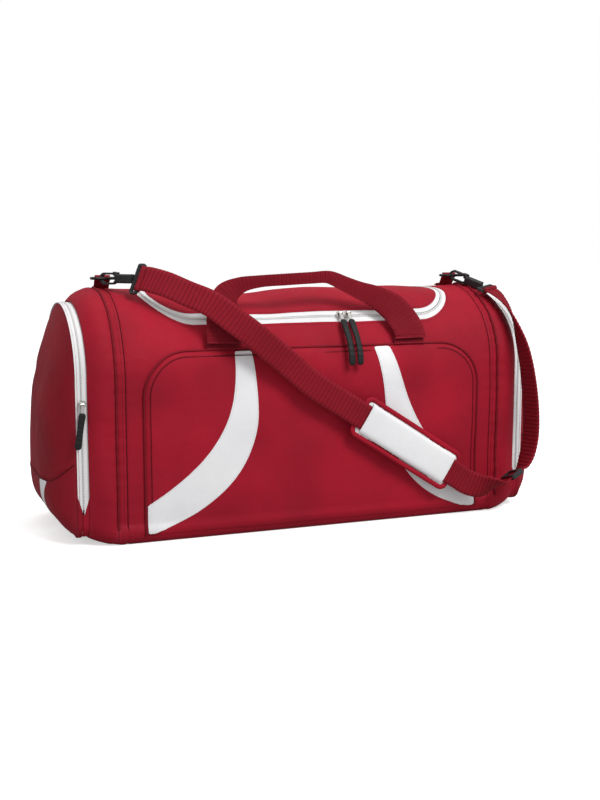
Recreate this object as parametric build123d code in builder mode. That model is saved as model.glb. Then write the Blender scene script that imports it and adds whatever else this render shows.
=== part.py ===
from build123d import *
import os
from math import sqrt

os.makedirs("parts", exist_ok=True)

# The bag stands on its base. +X runs along the bag, -Y is the front, +Z is up.
# The origin is the centre of the base, on the floor. All sizes are millimetres.

# ---- driving dimensions -----------------------------------------------------
HALF_LENGTH = 296.0          # main compartment, from the centre to an end seam
HALF_DEPTH = 128.0           # front to back, from the centre
CREST = 346.0                # height of the domed top
SHOULDER = 230.0             # height where the upright side turns into the dome
BASE_CORNER = 22.0           # rounding of the lower edges
FABRIC = 3.0                 # cloth, padding and lining together
BASE_HEIGHT = 26.0           # how far the base panel turns up the sides
CLEAR = 0.2                  # air between sewn layers

WEBBING = 50.0               # width of the handles' webbing
STRAP = 38.0                 # width of the shoulder strap's webbing
WEBBING_THICK = 2.5

GUSSET_LENGTH = 39.0         # end gusset, from the end seam to the pocket's zip
GUSSET_INSET = 12.0          # how much the gusset narrows on the way out
DOOR_DEPTH = 44.0            # bulge of an end pocket's door

LID_RADIUS = 60.0            # round ends of the lid's zip
LID_CENTRES = 354.0          # distance between the centres of those ends
LID_Y = -35.0                # the lid's zip sits to the front of the crest
LID_GAP = 1.5                # between the zip and the lid's edge
TAPE_WIDTH = 9.5
CHAIN_WIDTH = 3.0
ZIP_BACK = 10.0              # the zip stops here; the cloth behind is the hinge

POCKET_HALF = 257.0          # front pocket panel
POCKET_TOP = 262.0
POCKET_BOTTOM = 6.0
POCKET_CORNER = 60.0
POCKET_BACK = -131.0
POCKET_FACE = -137.0

HANDLE_X = 144.0             # centre of each handle leg
HANDLE_FOLD_Y = 129.5        # line where a handle leg folds on its anchor
HANDLE_FOLD_Z = 272.0

RING_X = 283.0               # D-rings
RING_BAR_Y = 6.0
RING_APEX_Y = -14.0
RING_Z = 361.0
WIRE = 2.0                   # radius of the D-ring's wire

STRAP_Y = -152.0             # plane of the strap where it crosses the front
PAD_LENGTH = 187.0
PAD_WIDTH = 64.0

SLIDER_MEET_X = 50.0         # the two main sliders meet here
SLIDER_APART = 13.0
END_SLIDER_Z = 197.0
END_HINGE_Z = 10.9

SIDES = (("left", -1), ("right", 1))


# ---- shared shapes ----------------------------------------------------------
def save(builder, name):
    """Labels a finished piece and writes its STEP file."""
    builder.part.label = name
    export_step(builder.part, "parts/" + name + ".step")


def dome_height(y, inset=0.0):
    """Height of the dome above a distance y from the centre line."""
    half = HALF_DEPTH - inset
    return SHOULDER + (CREST - inset - SHOULDER) * sqrt(1 - (y / half) ** 2)


def add_outline(inset, mode=Mode.ADD):
    """Draws the bag's end-on outline, inset by a distance, in the active sketch."""
    half = HALF_DEPTH - inset
    base = max(inset, 0.0)
    corner = BASE_CORNER
    with BuildLine() as edge:
        Line((-half + corner, base), (half - corner, base))
        CenterArc((half - corner, base + corner), corner, -90, 90)
        Line((half, base + corner), (half, SHOULDER))
        EllipticalCenterArc((0, SHOULDER), half, CREST - inset - SHOULDER, 0, arc_size=180)
        Line((-half, SHOULDER), (-half, base + corner))
        CenterArc((-half + corner, base + corner), corner, 180, 90)
    make_face(edge.edges(), mode=mode)


def outline_slab(outer, inner, x_start, length):
    """A ring that follows the outline, between two insets, along X."""
    with BuildPart() as slab:
        with BuildSketch(Plane.YZ.offset(x_start)):
            add_outline(outer)
            add_outline(inner, mode=Mode.SUBTRACT)
        extrude(amount=length)
    return slab.part


def outline_loft(sections):
    """A solid through (x, inset) sections of the outline."""
    with BuildPart() as body:
        for x, inset in sections:
            with BuildSketch(Plane.YZ.offset(x)):
                add_outline(inset)
        loft(ruled=True)
    return body.part


def lid_slot(outset, height=140.0):
    """An upright block with the lid zip's plan shape, grown by a distance."""
    with BuildPart() as block:
        with BuildSketch(Plane.XY.offset(250)):
            with Locations((0, LID_Y)):
                SlotCenterToCenter(LID_CENTRES, 2 * (LID_RADIUS + outset))
        extrude(amount=height)
    return block.part


def zip_zone():
    """The stretch of the lid's edge that carries the zip: all but its back edge."""
    front = -HALF_DEPTH - 20
    with BuildPart() as zone:
        with BuildSketch(Plane.XY.offset(240)):
            with Locations((0, (front + ZIP_BACK) / 2)):
                Rectangle(2 * HALF_LENGTH, ZIP_BACK - front)
        extrude(amount=160)
    return zone.part


def mirrored(shape, side):
    """The right-hand shape for side +1, and its mirror image for side -1."""
    return shape if side > 0 else shape.mirror(Plane.YZ)


def band(stations, thickness=WEBBING_THICK):
    """Webbing through (centre, width direction, width) stations, lofted flat to flat.

    A station on a straight run also names the run's direction."""
    centres = [Vector(*station[0]) for station in stations]
    last = len(stations) - 1
    with BuildPart() as strip:
        for i, station in enumerate(stations):
            along = (centres[min(i + 1, last)] - centres[max(i - 1, 0)]).normalized()
            if len(station) > 3:
                along = station[3]
            across = Vector(*station[1])
            width = station[2]
            across = (across - along * across.dot(along)).normalized()
            with BuildSketch(Plane(origin=centres[i], x_dir=across, z_dir=along)):
                Rectangle(width, thickness)
        loft(ruled=True)
    return strip.part


# ---- main compartment -------------------------------------------------------
shell = outline_slab(0, FABRIC, -HALF_LENGTH, 2 * HALF_LENGTH)
zone = zip_zone()
lid_opening = lid_slot(0)
tape_opening = lid_slot(CHAIN_WIDTH + TAPE_WIDTH) & zone

with BuildPart() as base_panel:
    add(shell)
    split(bisect_by=Plane.XY.offset(BASE_HEIGHT), keep=Keep.BOTTOM)
save(base_panel, "base_panel")

with BuildPart() as body_wrap:
    add(shell)
    split(bisect_by=Plane.XY.offset(BASE_HEIGHT), keep=Keep.TOP)
    add(lid_opening, mode=Mode.SUBTRACT)
    add(tape_opening, mode=Mode.SUBTRACT)
save(body_wrap, "body_wrap")

BOARD_THICK = 3.0
with BuildPart() as base_board:
    with BuildSketch(Plane.XY.offset(FABRIC + CLEAR)):
        RectangleRounded(2 * HALF_LENGTH - 20, 2 * (HALF_DEPTH - BASE_CORNER - FABRIC), 12)
    extrude(amount=BOARD_THICK)
save(base_board, "base_board")

# ---- lid and its zip --------------------------------------------------------
tape_ring = (lid_slot(-LID_GAP) - lid_slot(-LID_GAP - TAPE_WIDTH)) & zone

with BuildPart() as lid_zip_tape:
    add(shell)
    add(tape_ring, mode=Mode.INTERSECT)
save(lid_zip_tape, "lid_zip_tape")

with BuildPart() as lid_panel:
    add(shell)
    add(lid_slot(-LID_GAP), mode=Mode.INTERSECT)
    add(tape_ring, mode=Mode.SUBTRACT)
save(lid_panel, "lid_panel")

with BuildPart() as body_zip_tape:
    add(shell)
    add((lid_slot(CHAIN_WIDTH + TAPE_WIDTH) - lid_slot(CHAIN_WIDTH)) & zone, mode=Mode.INTERSECT)
save(body_zip_tape, "body_zip_tape")

TEETH_OUT = 1.6
TEETH_IN = 0.8
with BuildPart() as main_zip_chain:
    add(outline_slab(-TEETH_OUT, TEETH_IN, -HALF_LENGTH, 2 * HALF_LENGTH))
    add((lid_slot(CHAIN_WIDTH) - lid_slot(0)) & zone, mode=Mode.INTERSECT)
save(main_zip_chain, "main_zip_chain")

LID_HINGE_Y = LID_Y + LID_RADIUS - LID_GAP / 2
LID_HINGE_Z = dome_height(LID_HINGE_Y)
LID_SEAM_RADIUS = 0.6
with BuildPart() as lid_hinge_seam:
    with BuildSketch(Plane.YZ.offset(-LID_CENTRES / 2)):
        with Locations((LID_HINGE_Y, LID_HINGE_Z)):
            Circle(LID_SEAM_RADIUS)
    extrude(amount=LID_CENTRES)
save(lid_hinge_seam, "lid_hinge_seam")


# ---- front pocket panel, its piping and the two stripes ----------------------
def add_pocket_outline(inset, mode=Mode.ADD):
    """Draws the pocket panel, with rounded top corners, on a plane facing the front."""
    half = POCKET_HALF - inset
    top = POCKET_TOP - inset
    bottom = POCKET_BOTTOM + inset
    corner = POCKET_CORNER - inset
    with BuildLine() as edge:
        Polyline((-half, top - corner), (-half, bottom), (half, bottom), (half, top - corner))
        CenterArc((half - corner, top - corner), corner, 0, 90)
        Line((half - corner, top), (-half + corner, top))
        CenterArc((-half + corner, top - corner), corner, 90, 90)
    make_face(edge.edges(), mode=mode)


def front_plane(y):
    """Plane facing the front at a depth y; its x is X and its y is Z."""
    return Plane(origin=(0, y, 0), x_dir=(1, 0, 0), z_dir=(0, -1, 0))


PIPING = 3.0
PIPING_FACE = -135.0
with BuildPart() as front_pocket_panel:
    with BuildSketch(front_plane(POCKET_BACK)):
        add_pocket_outline(0)
    extrude(amount=POCKET_BACK - POCKET_FACE)
save(front_pocket_panel, "front_pocket_panel")

with BuildPart() as front_pocket_piping:
    with BuildSketch(front_plane(POCKET_BACK)):
        add_pocket_outline(-PIPING)
        add_pocket_outline(-CLEAR / 2, mode=Mode.SUBTRACT)
    extrude(amount=POCKET_BACK - PIPING_FACE)
save(front_pocket_piping, "front_pocket_piping")

STRIPE_THICK = 0.8
STRIPE_FACE = POCKET_FACE - 0.05
for side_name, side in SIDES:
    with BuildPart() as stripe:
        with BuildSketch(front_plane(STRIPE_FACE)):
            with BuildLine():
                Spline((side * 98, 259), (side * 99, 178), (side * 124, 97), (side * 254, 14))
                Line((side * 254, 14), (side * 254, 56))
                Spline((side * 254, 56), (side * 186, 107), (side * 137, 183), (side * 126, 259))
                Line((side * 126, 259), (side * 98, 259))
            make_face()
        extrude(amount=STRIPE_THICK)
    save(stripe, side_name + "_stripe")


# ---- end gussets, end walls, end seams and end pockets -----------------------
GUSSET_END = HALF_LENGTH + GUSSET_LENGTH
END_WALL = 2.0
END_TAPE = 4.0
END_CHAIN = 3.0
END_GAP = 0.6
CHAIN_START = GUSSET_END + END_TAPE
DOOR_START = CHAIN_START + END_CHAIN + END_GAP
DOME_START = DOOR_START + END_TAPE
DOME_END = DOME_START + DOOR_DEPTH
END_HINGE_X = DOOR_START - END_GAP / 2
END_ZIP_BOTTOM = 40.0

gusset_outer = outline_loft([(HALF_LENGTH, 0), (GUSSET_END, GUSSET_INSET)])
gusset_inner = outline_loft([(HALF_LENGTH, FABRIC), (GUSSET_END, GUSSET_INSET + FABRIC)])
gusset_shape = gusset_outer - gusset_inner

dome_sections = [(0.0, 0), (14, 4), (28, 20), (38, 46), (DOOR_DEPTH, 78)]
dome_outer = outline_loft([(DOME_START + x, GUSSET_INSET + inset) for x, inset in dome_sections])
dome_inner = outline_loft(
    [(DOME_START + x - (FABRIC if x else 0), GUSSET_INSET + FABRIC + inset) for x, inset in dome_sections]
)
door_shape = dome_outer - dome_inner

end_wall_shape = outline_loft([(HALF_LENGTH - END_WALL, FABRIC + CLEAR), (HALF_LENGTH, FABRIC + CLEAR)])
seam_shape = outline_slab(-1.6, -0.05, HALF_LENGTH - 2, 4)
body_tape_shape = outline_slab(GUSSET_INSET, GUSSET_INSET + FABRIC, GUSSET_END, END_TAPE)
chain_shape = outline_slab(GUSSET_INSET - 1, GUSSET_INSET + 2, CHAIN_START, END_CHAIN)
door_tape_shape = outline_slab(GUSSET_INSET, GUSSET_INSET + FABRIC, DOOR_START, END_TAPE)

for side_name, side in SIDES:
    with BuildPart() as gusset:
        add(mirrored(gusset_shape, side))
    save(gusset, side_name + "_end_gusset")

    with BuildPart() as end_wall:
        add(mirrored(end_wall_shape, side))
    save(end_wall, side_name + "_end_wall")

    with BuildPart() as end_seam:
        add(mirrored(seam_shape, side))
        split(bisect_by=Plane.XY.offset(BASE_HEIGHT), keep=Keep.TOP)
    save(end_seam, side_name + "_seam_piping")

    with BuildPart() as end_body_tape:
        add(mirrored(body_tape_shape, side))
    save(end_body_tape, side_name + "_end_body_tape")

    with BuildPart() as end_chain:
        add(mirrored(chain_shape, side))
        split(bisect_by=Plane.XY.offset(END_ZIP_BOTTOM), keep=Keep.TOP)
    save(end_chain, side_name + "_end_zip_chain")

    with BuildPart() as end_door_tape:
        add(mirrored(door_tape_shape, side))
    save(end_door_tape, side_name + "_end_door_tape")

    with BuildPart() as end_door:
        add(mirrored(door_shape, side))
    save(end_door, side_name + "_end_door")

    with BuildPart() as end_hinge:
        with BuildSketch(Plane.XZ.offset(-80)):
            with Locations((side * END_HINGE_X, END_HINGE_Z)):
                Circle(0.9)
        extrude(amount=160)
    save(end_hinge, side_name + "_end_hinge_seam")


# ---- zip sliders and pulls ----------------------------------------------------
SLIDER_SIZE = 9.0
SLIDER_LOW = 1.9
SLIDER_HIGH = 3.9
BAR_HEIGHT = 6.3
BAR_RADIUS = 0.9
EYE_RADIUS = 2.1
EYE_BORE = 0.97
EYE_LENGTH = 4.4
POST_X = 3.6
POST_THICK = 1.4
POST_WIDTH = 3.0
TAB_THICK = 1.4
PULL_WIDTH = 10.0
PULL_THICK = 4.0


def slider(plane):
    """A zip slider on a plane: a plate, two posts and the bar its pull hangs on."""
    with BuildPart() as body:
        with BuildSketch(plane.offset(SLIDER_LOW)):
            RectangleRounded(SLIDER_SIZE, SLIDER_SIZE, 2)
        extrude(amount=SLIDER_HIGH - SLIDER_LOW)
        with BuildSketch(plane.offset(SLIDER_HIGH)):
            with Locations((-POST_X, 0), (POST_X, 0)):
                Rectangle(POST_THICK, POST_WIDTH)
        extrude(amount=BAR_HEIGHT + POST_THICK - SLIDER_HIGH)
        across = Plane(origin=plane.origin + plane.z_dir * BAR_HEIGHT, x_dir=plane.y_dir, z_dir=plane.x_dir)
        with BuildSketch(across):
            Circle(BAR_RADIUS)
        extrude(amount=POST_X, both=True)
    return body.part


def pull_tab(plane, length):
    """The metal tab: a round eye on the slider's bar, and a plate down from it."""
    across = Plane(origin=plane.origin + plane.z_dir * BAR_HEIGHT, x_dir=plane.y_dir, z_dir=plane.x_dir)
    with BuildPart() as tab:
        with BuildSketch(across):
            Circle(EYE_RADIUS)
            with Locations((-length / 2, 0)):
                Rectangle(length, TAB_THICK)
            Circle(EYE_BORE, mode=Mode.SUBTRACT)
        extrude(amount=EYE_LENGTH / 2, both=True)
    return tab.part


def rubber_pull(x, points):
    """A moulded grip, drawn as a strip in a plane across the bag at x."""
    with BuildPart() as grip:
        with BuildSketch(Plane.YZ.offset(x)):
            with BuildLine() as spine:
                Polyline(*points)
            trace(spine.line, line_width=PULL_THICK)
        extrude(amount=PULL_WIDTH / 2, both=True)
    return grip.part


MAIN_CHAIN_Y = LID_Y - LID_RADIUS - CHAIN_WIDTH / 2
MAIN_CHAIN_Z = dome_height(MAIN_CHAIN_Y)
slope_y = MAIN_CHAIN_Y / HALF_DEPTH ** 2
slope_z = (MAIN_CHAIN_Z - SHOULDER) / (CREST - SHOULDER) ** 2
TAB_LENGTH = 13.0
PULL_BOW = 0.5               # how far an end pull bows away from the bag
PULL_TOP = 11.0              # the grip's top, middle and bottom, below its slider
PULL_MIDDLE = 35.0
PULL_BOTTOM = 62.0
MAIN_SPINE = ((-110.3, 301.6), (-124, 287), (-138, 268), (-144.5, 252), (-145, 236))

for side_name, side in SIDES:
    slider_x = SLIDER_MEET_X + side * SLIDER_APART / 2
    main_plane = Plane(
        origin=(slider_x, MAIN_CHAIN_Y, MAIN_CHAIN_Z), x_dir=(1, 0, 0), z_dir=(0, slope_y, slope_z)
    )
    with BuildPart() as main_slider:
        add(slider(main_plane))
    save(main_slider, side_name + "_main_slider")

    with BuildPart() as main_tab:
        add(pull_tab(main_plane, TAB_LENGTH))
    save(main_tab, side_name + "_main_pull_tab")

    with BuildPart() as main_pull:
        add(rubber_pull(slider_x, MAIN_SPINE))
        add(main_tab.part, mode=Mode.SUBTRACT)
    save(main_pull, side_name + "_main_pull")

    # The end pockets match when the bag is turned round, so the right one's slider is at the back.
    end_x = side * (CHAIN_START + END_CHAIN / 2)
    end_y = side * (HALF_DEPTH - GUSSET_INSET)
    end_plane = Plane(origin=(end_x, end_y, END_SLIDER_Z), x_dir=(-side, 0, 0), z_dir=(0, side, 0))
    with BuildPart() as end_slider:
        add(slider(end_plane))
    save(end_slider, side_name + "_end_slider")

    with BuildPart() as end_tab:
        add(pull_tab(end_plane, TAB_LENGTH))
    save(end_tab, side_name + "_end_pull_tab")

    bar_y = end_y + side * BAR_HEIGHT
    middle_y = bar_y + side * PULL_BOW
    end_spine = [(bar_y, END_SLIDER_Z - PULL_TOP), (middle_y, END_SLIDER_Z - PULL_MIDDLE)]
    end_spine.append((bar_y, END_SLIDER_Z - PULL_BOTTOM))
    with BuildPart() as end_pull:
        add(rubber_pull(end_x, end_spine))
        add(end_tab.part, mode=Mode.SUBTRACT)
    save(end_pull, side_name + "_end_pull")

# ---- carry handles ------------------------------------------------------------
ANCHOR_BOTTOM = 240.0
for place, y_side in (("front", -1), ("rear", 1)):
    with BuildPart() as anchors:
        anchor_y = y_side * HANDLE_FOLD_Y
        with BuildSketch(Plane.XY.offset(ANCHOR_BOTTOM)):
            with Locations((-HANDLE_X, anchor_y), (HANDLE_X, anchor_y)):
                Rectangle(WEBBING, WEBBING_THICK)
        extrude(amount=HANDLE_FOLD_Z - ANCHOR_BOTTOM)
        for anchor_x in (-HANDLE_X, HANDLE_X):
            with BuildSketch(Plane.YZ.offset(anchor_x)):
                with Locations((anchor_y, HANDLE_FOLD_Z)):
                    Circle(WEBBING_THICK / 2)
            extrude(amount=WEBBING / 2, both=True)
    save(anchors, place + "_handle_anchors")

GRIP_WIDTH = 23.0
HANDLE_START_Z = HANDLE_FOLD_Z + 1.5
UP = Vector(0, 0, 1)
front_path = [
    ((-HANDLE_X, -HANDLE_FOLD_Y, HANDLE_START_Z), (1, 0, 0), WEBBING, UP),
    ((-143, -125, 300), (1, 0, 0), WEBBING),
    ((-137, -113, 330), (1, 0, -0.2), 46),
    ((-112, -102, 351), (0.5, 0, -0.9), 30),
    ((-72, -101, 357), (0, 0, -1), GRIP_WIDTH),
    ((24, -101, 361), (0, 0, -1), GRIP_WIDTH),
    ((64, -101, 346), (0, 0, -1), 26),
    ((102, -104, 333), (-0.5, 0, -0.9), 34),
    ((126, -112, 316), (-1, 0, -0.5), 46),
    ((141, -123, 293), (-1, 0, -0.2), WEBBING),
    ((HANDLE_X, -HANDLE_FOLD_Y, HANDLE_START_Z), (-1, 0, 0), WEBBING, -UP),
]
with BuildPart() as front_handle:
    add(band(front_path))
save(front_handle, "front_handle")

HANG_Y = HANDLE_FOLD_Y + 3.3
rear_path = [
    ((-144, HANG_Y, 272), (1, 0, 0), WEBBING),
    ((-143, HANG_Y + 2, 225), (1, 0, 0.1), WEBBING),
    ((-130, HANG_Y + 3, 190), (1, 0, 0.4), 42),
    ((-96, HANG_Y + 3, 170), (0.4, 0, 1), 28),
    ((0, HANG_Y + 3, 163), (0, 0, 1), GRIP_WIDTH),
    ((96, HANG_Y + 3, 170), (-0.4, 0, 1), 28),
    ((130, HANG_Y + 3, 190), (-1, 0, 0.4), 42),
    ((143, HANG_Y + 2, 225), (-1, 0, 0.1), WEBBING),
    ((144, HANG_Y, 272), (-1, 0, 0), WEBBING),
]
with BuildPart() as rear_handle:
    add(band(rear_path))
save(rear_handle, "rear_handle")

# ---- D-rings and the webbing tabs that hold them --------------------------------
RING_HALF = 17.0
RING_CORNER = 5.0
TAB_WIDTH = 22.0
TAB_BORE = WIRE + 0.1
TAB_OUT = TAB_BORE + 2.0
TAB_TAIL = 26.0
TAB_TAIL_THICK = 3.0

for side_name, side in SIDES:
    ring_x = side * RING_X
    ring_middle = Plane(origin=(ring_x, (RING_BAR_Y + RING_APEX_Y) / 2, RING_Z))
    ring_line = (ring_middle * RectangleRounded(2 * RING_HALF, RING_BAR_Y - RING_APEX_Y, RING_CORNER)).wire()
    with BuildPart() as d_ring:
        with BuildSketch(Plane(origin=(ring_x, RING_APEX_Y, RING_Z), x_dir=(0, 1, 0), z_dir=(1, 0, 0))):
            Circle(WIRE)
        sweep(path=ring_line)
    save(d_ring, side_name + "_d_ring")

    tail_z = CREST + CLEAR
    with BuildPart() as ring_tab:
        with BuildSketch(Plane.YZ.offset(ring_x)):
            with Locations((RING_BAR_Y, RING_Z)):
                Circle(TAB_OUT)
            with BuildLine():
                Polyline(
                    (RING_BAR_Y - TAB_OUT, RING_Z),
                    (RING_BAR_Y - TAB_OUT, tail_z),
                    (RING_BAR_Y + TAB_TAIL, tail_z),
                    (RING_BAR_Y + TAB_TAIL, tail_z + TAB_TAIL_THICK),
                    (RING_BAR_Y + TAB_OUT, RING_Z),
                    close=True,
                )
            make_face()
            with Locations((RING_BAR_Y, RING_Z)):
                Circle(TAB_BORE, mode=Mode.SUBTRACT)
        extrude(amount=TAB_WIDTH / 2, both=True)
    save(ring_tab, side_name + "_ring_tab")

# ---- snap hooks, gates and strap rings -------------------------------------------
HOOK_THICK = 5.0
HOOK_OUT = 8.5
HOOK_IN = 5.5
HOOK_REACH = 14.0
BASE_START = 21.2
BASE_END = 50.0
PIN_RADIUS = 2.0
PIN_CLEAR = 0.1
HEAD_RADIUS = 3.2
LOOP_START = 53.0
LOOP_BAR = 3.5
LOOP_DEPTH = 13.0
RING_THICK = 4.0
GATE_PIN_X = 18.0            # the gate's pin, seen along the hook's flat side
GATE_PIN_Y = 7.0
GATE_PIN = 1.2
GATE_EYE = 2.8
GATE_BAR = 2.8
GATE_LENGTH = 18.0
EYE_ROOM = 0.4               # air round the gate's eye
NOTCH_LENGTH = 17.0          # cut in the hook's rim that the gate closes
NOTCH_DEPTH = 6.4
CHEEK = 9.0                  # plates either side of the gate's eye
CHEEK_THICK = 1.2
CHEEK_AIR = 0.2
BASE_WIDE = 13.0
BASE_THICK = 9.5
SOCKET_LENGTH = 6.0


def side_plane(hook_plane, distance):
    """Plane across the hook's long axis, at a distance along it."""
    return Plane(
        origin=hook_plane.origin + hook_plane.x_dir * distance,
        x_dir=hook_plane.y_dir,
        z_dir=hook_plane.x_dir,
    )


def add_slot_shape(radius, mode=Mode.ADD):
    """The hook's long round-ended shape, with its first end centred on the D-ring's wire."""
    Circle(radius, mode=mode)
    with Locations((HOOK_REACH / 2, 0)):
        Rectangle(HOOK_REACH, 2 * radius, mode=mode)
    with Locations((HOOK_REACH, 0)):
        Circle(radius, mode=mode)


def snap_hook(hook_plane):
    """A flat moulded hook with a swivel socket in its base and a notch for the gate."""
    cheek_plane = hook_plane.offset(-HOOK_THICK / 2 - CHEEK_AIR)
    with BuildPart() as hook:
        with BuildSketch(hook_plane):
            add_slot_shape(HOOK_OUT)
            add_slot_shape(HOOK_IN, mode=Mode.SUBTRACT)
            with Locations((NOTCH_LENGTH / 2 - 0.5, GATE_PIN_Y + 1.4)):
                Rectangle(NOTCH_LENGTH, NOTCH_DEPTH, mode=Mode.SUBTRACT)
            with Locations((GATE_PIN_X, GATE_PIN_Y)):
                Circle(GATE_EYE + EYE_ROOM, mode=Mode.SUBTRACT)
        extrude(amount=HOOK_THICK / 2, both=True)
        with BuildSketch(hook_plane):
            with Locations((GATE_PIN_X, GATE_PIN_Y)):
                Circle(GATE_PIN)
        extrude(amount=HOOK_THICK / 2, both=True)
        with BuildSketch(cheek_plane):
            with Locations((GATE_PIN_X + 1, GATE_PIN_Y - 2.6)):
                Rectangle(CHEEK, CHEEK)
        extrude(amount=-CHEEK_THICK)
        with BuildSketch(cheek_plane):
            with Locations((GATE_PIN_X + 1, GATE_PIN_Y - 5.5)):
                Rectangle(CHEEK, CHEEK / 3)
            with Locations((GATE_PIN_X, GATE_PIN_Y)):
                Circle(GATE_PIN)
        extrude(amount=2 * CHEEK_AIR)
        with BuildSketch(side_plane(hook_plane, BASE_START)):
            RectangleRounded(BASE_WIDE, BASE_THICK, 2.5)
        extrude(amount=BASE_END - BASE_START)
        with BuildSketch(side_plane(hook_plane, BASE_END - 11)):
            Circle(HEAD_RADIUS + CHEEK_AIR)
        extrude(amount=SOCKET_LENGTH, mode=Mode.SUBTRACT)
        with BuildSketch(side_plane(hook_plane, BASE_END - 6)):
            Circle(PIN_RADIUS + PIN_CLEAR)
        extrude(amount=SOCKET_LENGTH + 1, mode=Mode.SUBTRACT)
    return hook.part


def hook_gate(hook_plane):
    """The sprung gate: a round eye on the hook's pin and a bar that closes the mouth."""
    with BuildPart() as gate:
        with BuildSketch(hook_plane):
            with Locations((GATE_PIN_X, GATE_PIN_Y)):
                Circle(GATE_EYE)
            with Locations((GATE_LENGTH / 2 + 0.2, GATE_PIN_Y)):
                Rectangle(GATE_LENGTH, GATE_BAR)
            with Locations((GATE_PIN_X, GATE_PIN_Y)):
                Circle(GATE_PIN + 0.06, mode=Mode.SUBTRACT)
        extrude(amount=HOOK_THICK / 2 - CHEEK_AIR, both=True)
    return gate.part


def strap_ring(hook_plane, across):
    """Swivel pin with its head, and the flat loop that the webbing is folded through."""
    along = hook_plane.x_dir
    across = Vector(*across)
    across = (across - along * across.dot(along)).normalized()
    flat = Plane(
        origin=hook_plane.origin + along * (LOOP_START + LOOP_DEPTH / 2), x_dir=across, z_dir=along.cross(across)
    )
    inner = STRAP + 2
    with BuildPart() as ring:
        with BuildSketch(side_plane(hook_plane, BASE_END - 10.5)):
            Circle(HEAD_RADIUS)
        extrude(amount=5)
        with BuildSketch(side_plane(hook_plane, BASE_END - 8)):
            Circle(PIN_RADIUS)
        extrude(amount=LOOP_START + 2 - BASE_END + 8)
        with BuildSketch(flat):
            RectangleRounded(inner + 2 * LOOP_BAR, LOOP_DEPTH, 3)
            Rectangle(inner, LOOP_DEPTH - 2 * LOOP_BAR, mode=Mode.SUBTRACT)
        extrude(amount=RING_THICK / 2, both=True)
    return ring.part


hook_aim = {"left": (0.60, -0.80, 0.0), "right": (0.53, -0.78, -0.33)}
ring_across = {"left": (0.4, 0.3, 0.866), "right": (0.85, 0.52, 0.09)}
strap_rings = {}
strap_ends = {}
for side_name, side in SIDES:
    aim = Vector(*hook_aim[side_name]).normalized()
    bar = Vector(1, 0, 0)
    flat_normal = (bar - aim * bar.dot(aim)).normalized()
    pivot = Vector(side * RING_X, RING_APEX_Y, RING_Z)
    plane = Plane(origin=pivot, x_dir=aim, z_dir=-flat_normal)

    with BuildPart() as hook_part:
        add(snap_hook(plane))
    save(hook_part, side_name + "_snap_hook")

    with BuildPart() as gate_part:
        add(hook_gate(plane))
    save(gate_part, side_name + "_hook_gate")

    with BuildPart() as ring_part:
        add(strap_ring(plane, ring_across[side_name]))
    save(ring_part, side_name + "_strap_ring")
    strap_rings[side_name] = ring_part.part
    strap_ends[side_name] = pivot + aim * (LOOP_START + LOOP_DEPTH - LOOP_BAR / 2)

# ---- shoulder strap, its pad and the tri-glide -------------------------------------
PAD_START = Vector(51.5, STRAP_Y, 168)
PAD_AIM = Vector(0.846, 0, -0.534).normalized()
PAD_ACROSS = (0.534, 0, 0.846)


def pad_point(distance):
    """Point on the straight run of the strap, measured from the pad's upper end."""
    point = PAD_START + PAD_AIM * distance
    return (point.X, point.Y, point.Z)


FOLD_LENGTH = 10.0
FOLD_THICK = 8.0
GLIDE_CENTRE = Vector(309, -156, 60)
GLIDE_AIM = Vector(32, 0, 20).normalized()
GLIDE_ACROSS = (0, -0.93, 0.37)
GLIDE_RUN = 20.0


def glide_point(distance):
    """Point on the strap's second straight run, measured from the tri-glide."""
    point = GLIDE_CENTRE + GLIDE_AIM * distance
    return (point.X, point.Y, point.Z)


def strap_fold(side_name):
    """The end of the webbing, folded round the bar of its ring."""
    aim = Vector(*hook_aim[side_name]).normalized()
    across = Vector(*ring_across[side_name])
    across = (across - aim * across.dot(aim)).normalized()
    fold_plane = Plane(origin=strap_ends[side_name], x_dir=across, z_dir=aim.cross(across))
    with BuildPart() as fold:
        with BuildSketch(fold_plane):
            Rectangle(STRAP, FOLD_LENGTH)
        extrude(amount=FOLD_THICK / 2, both=True)
        add(strap_rings[side_name], mode=Mode.SUBTRACT)
    return fold.part


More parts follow.
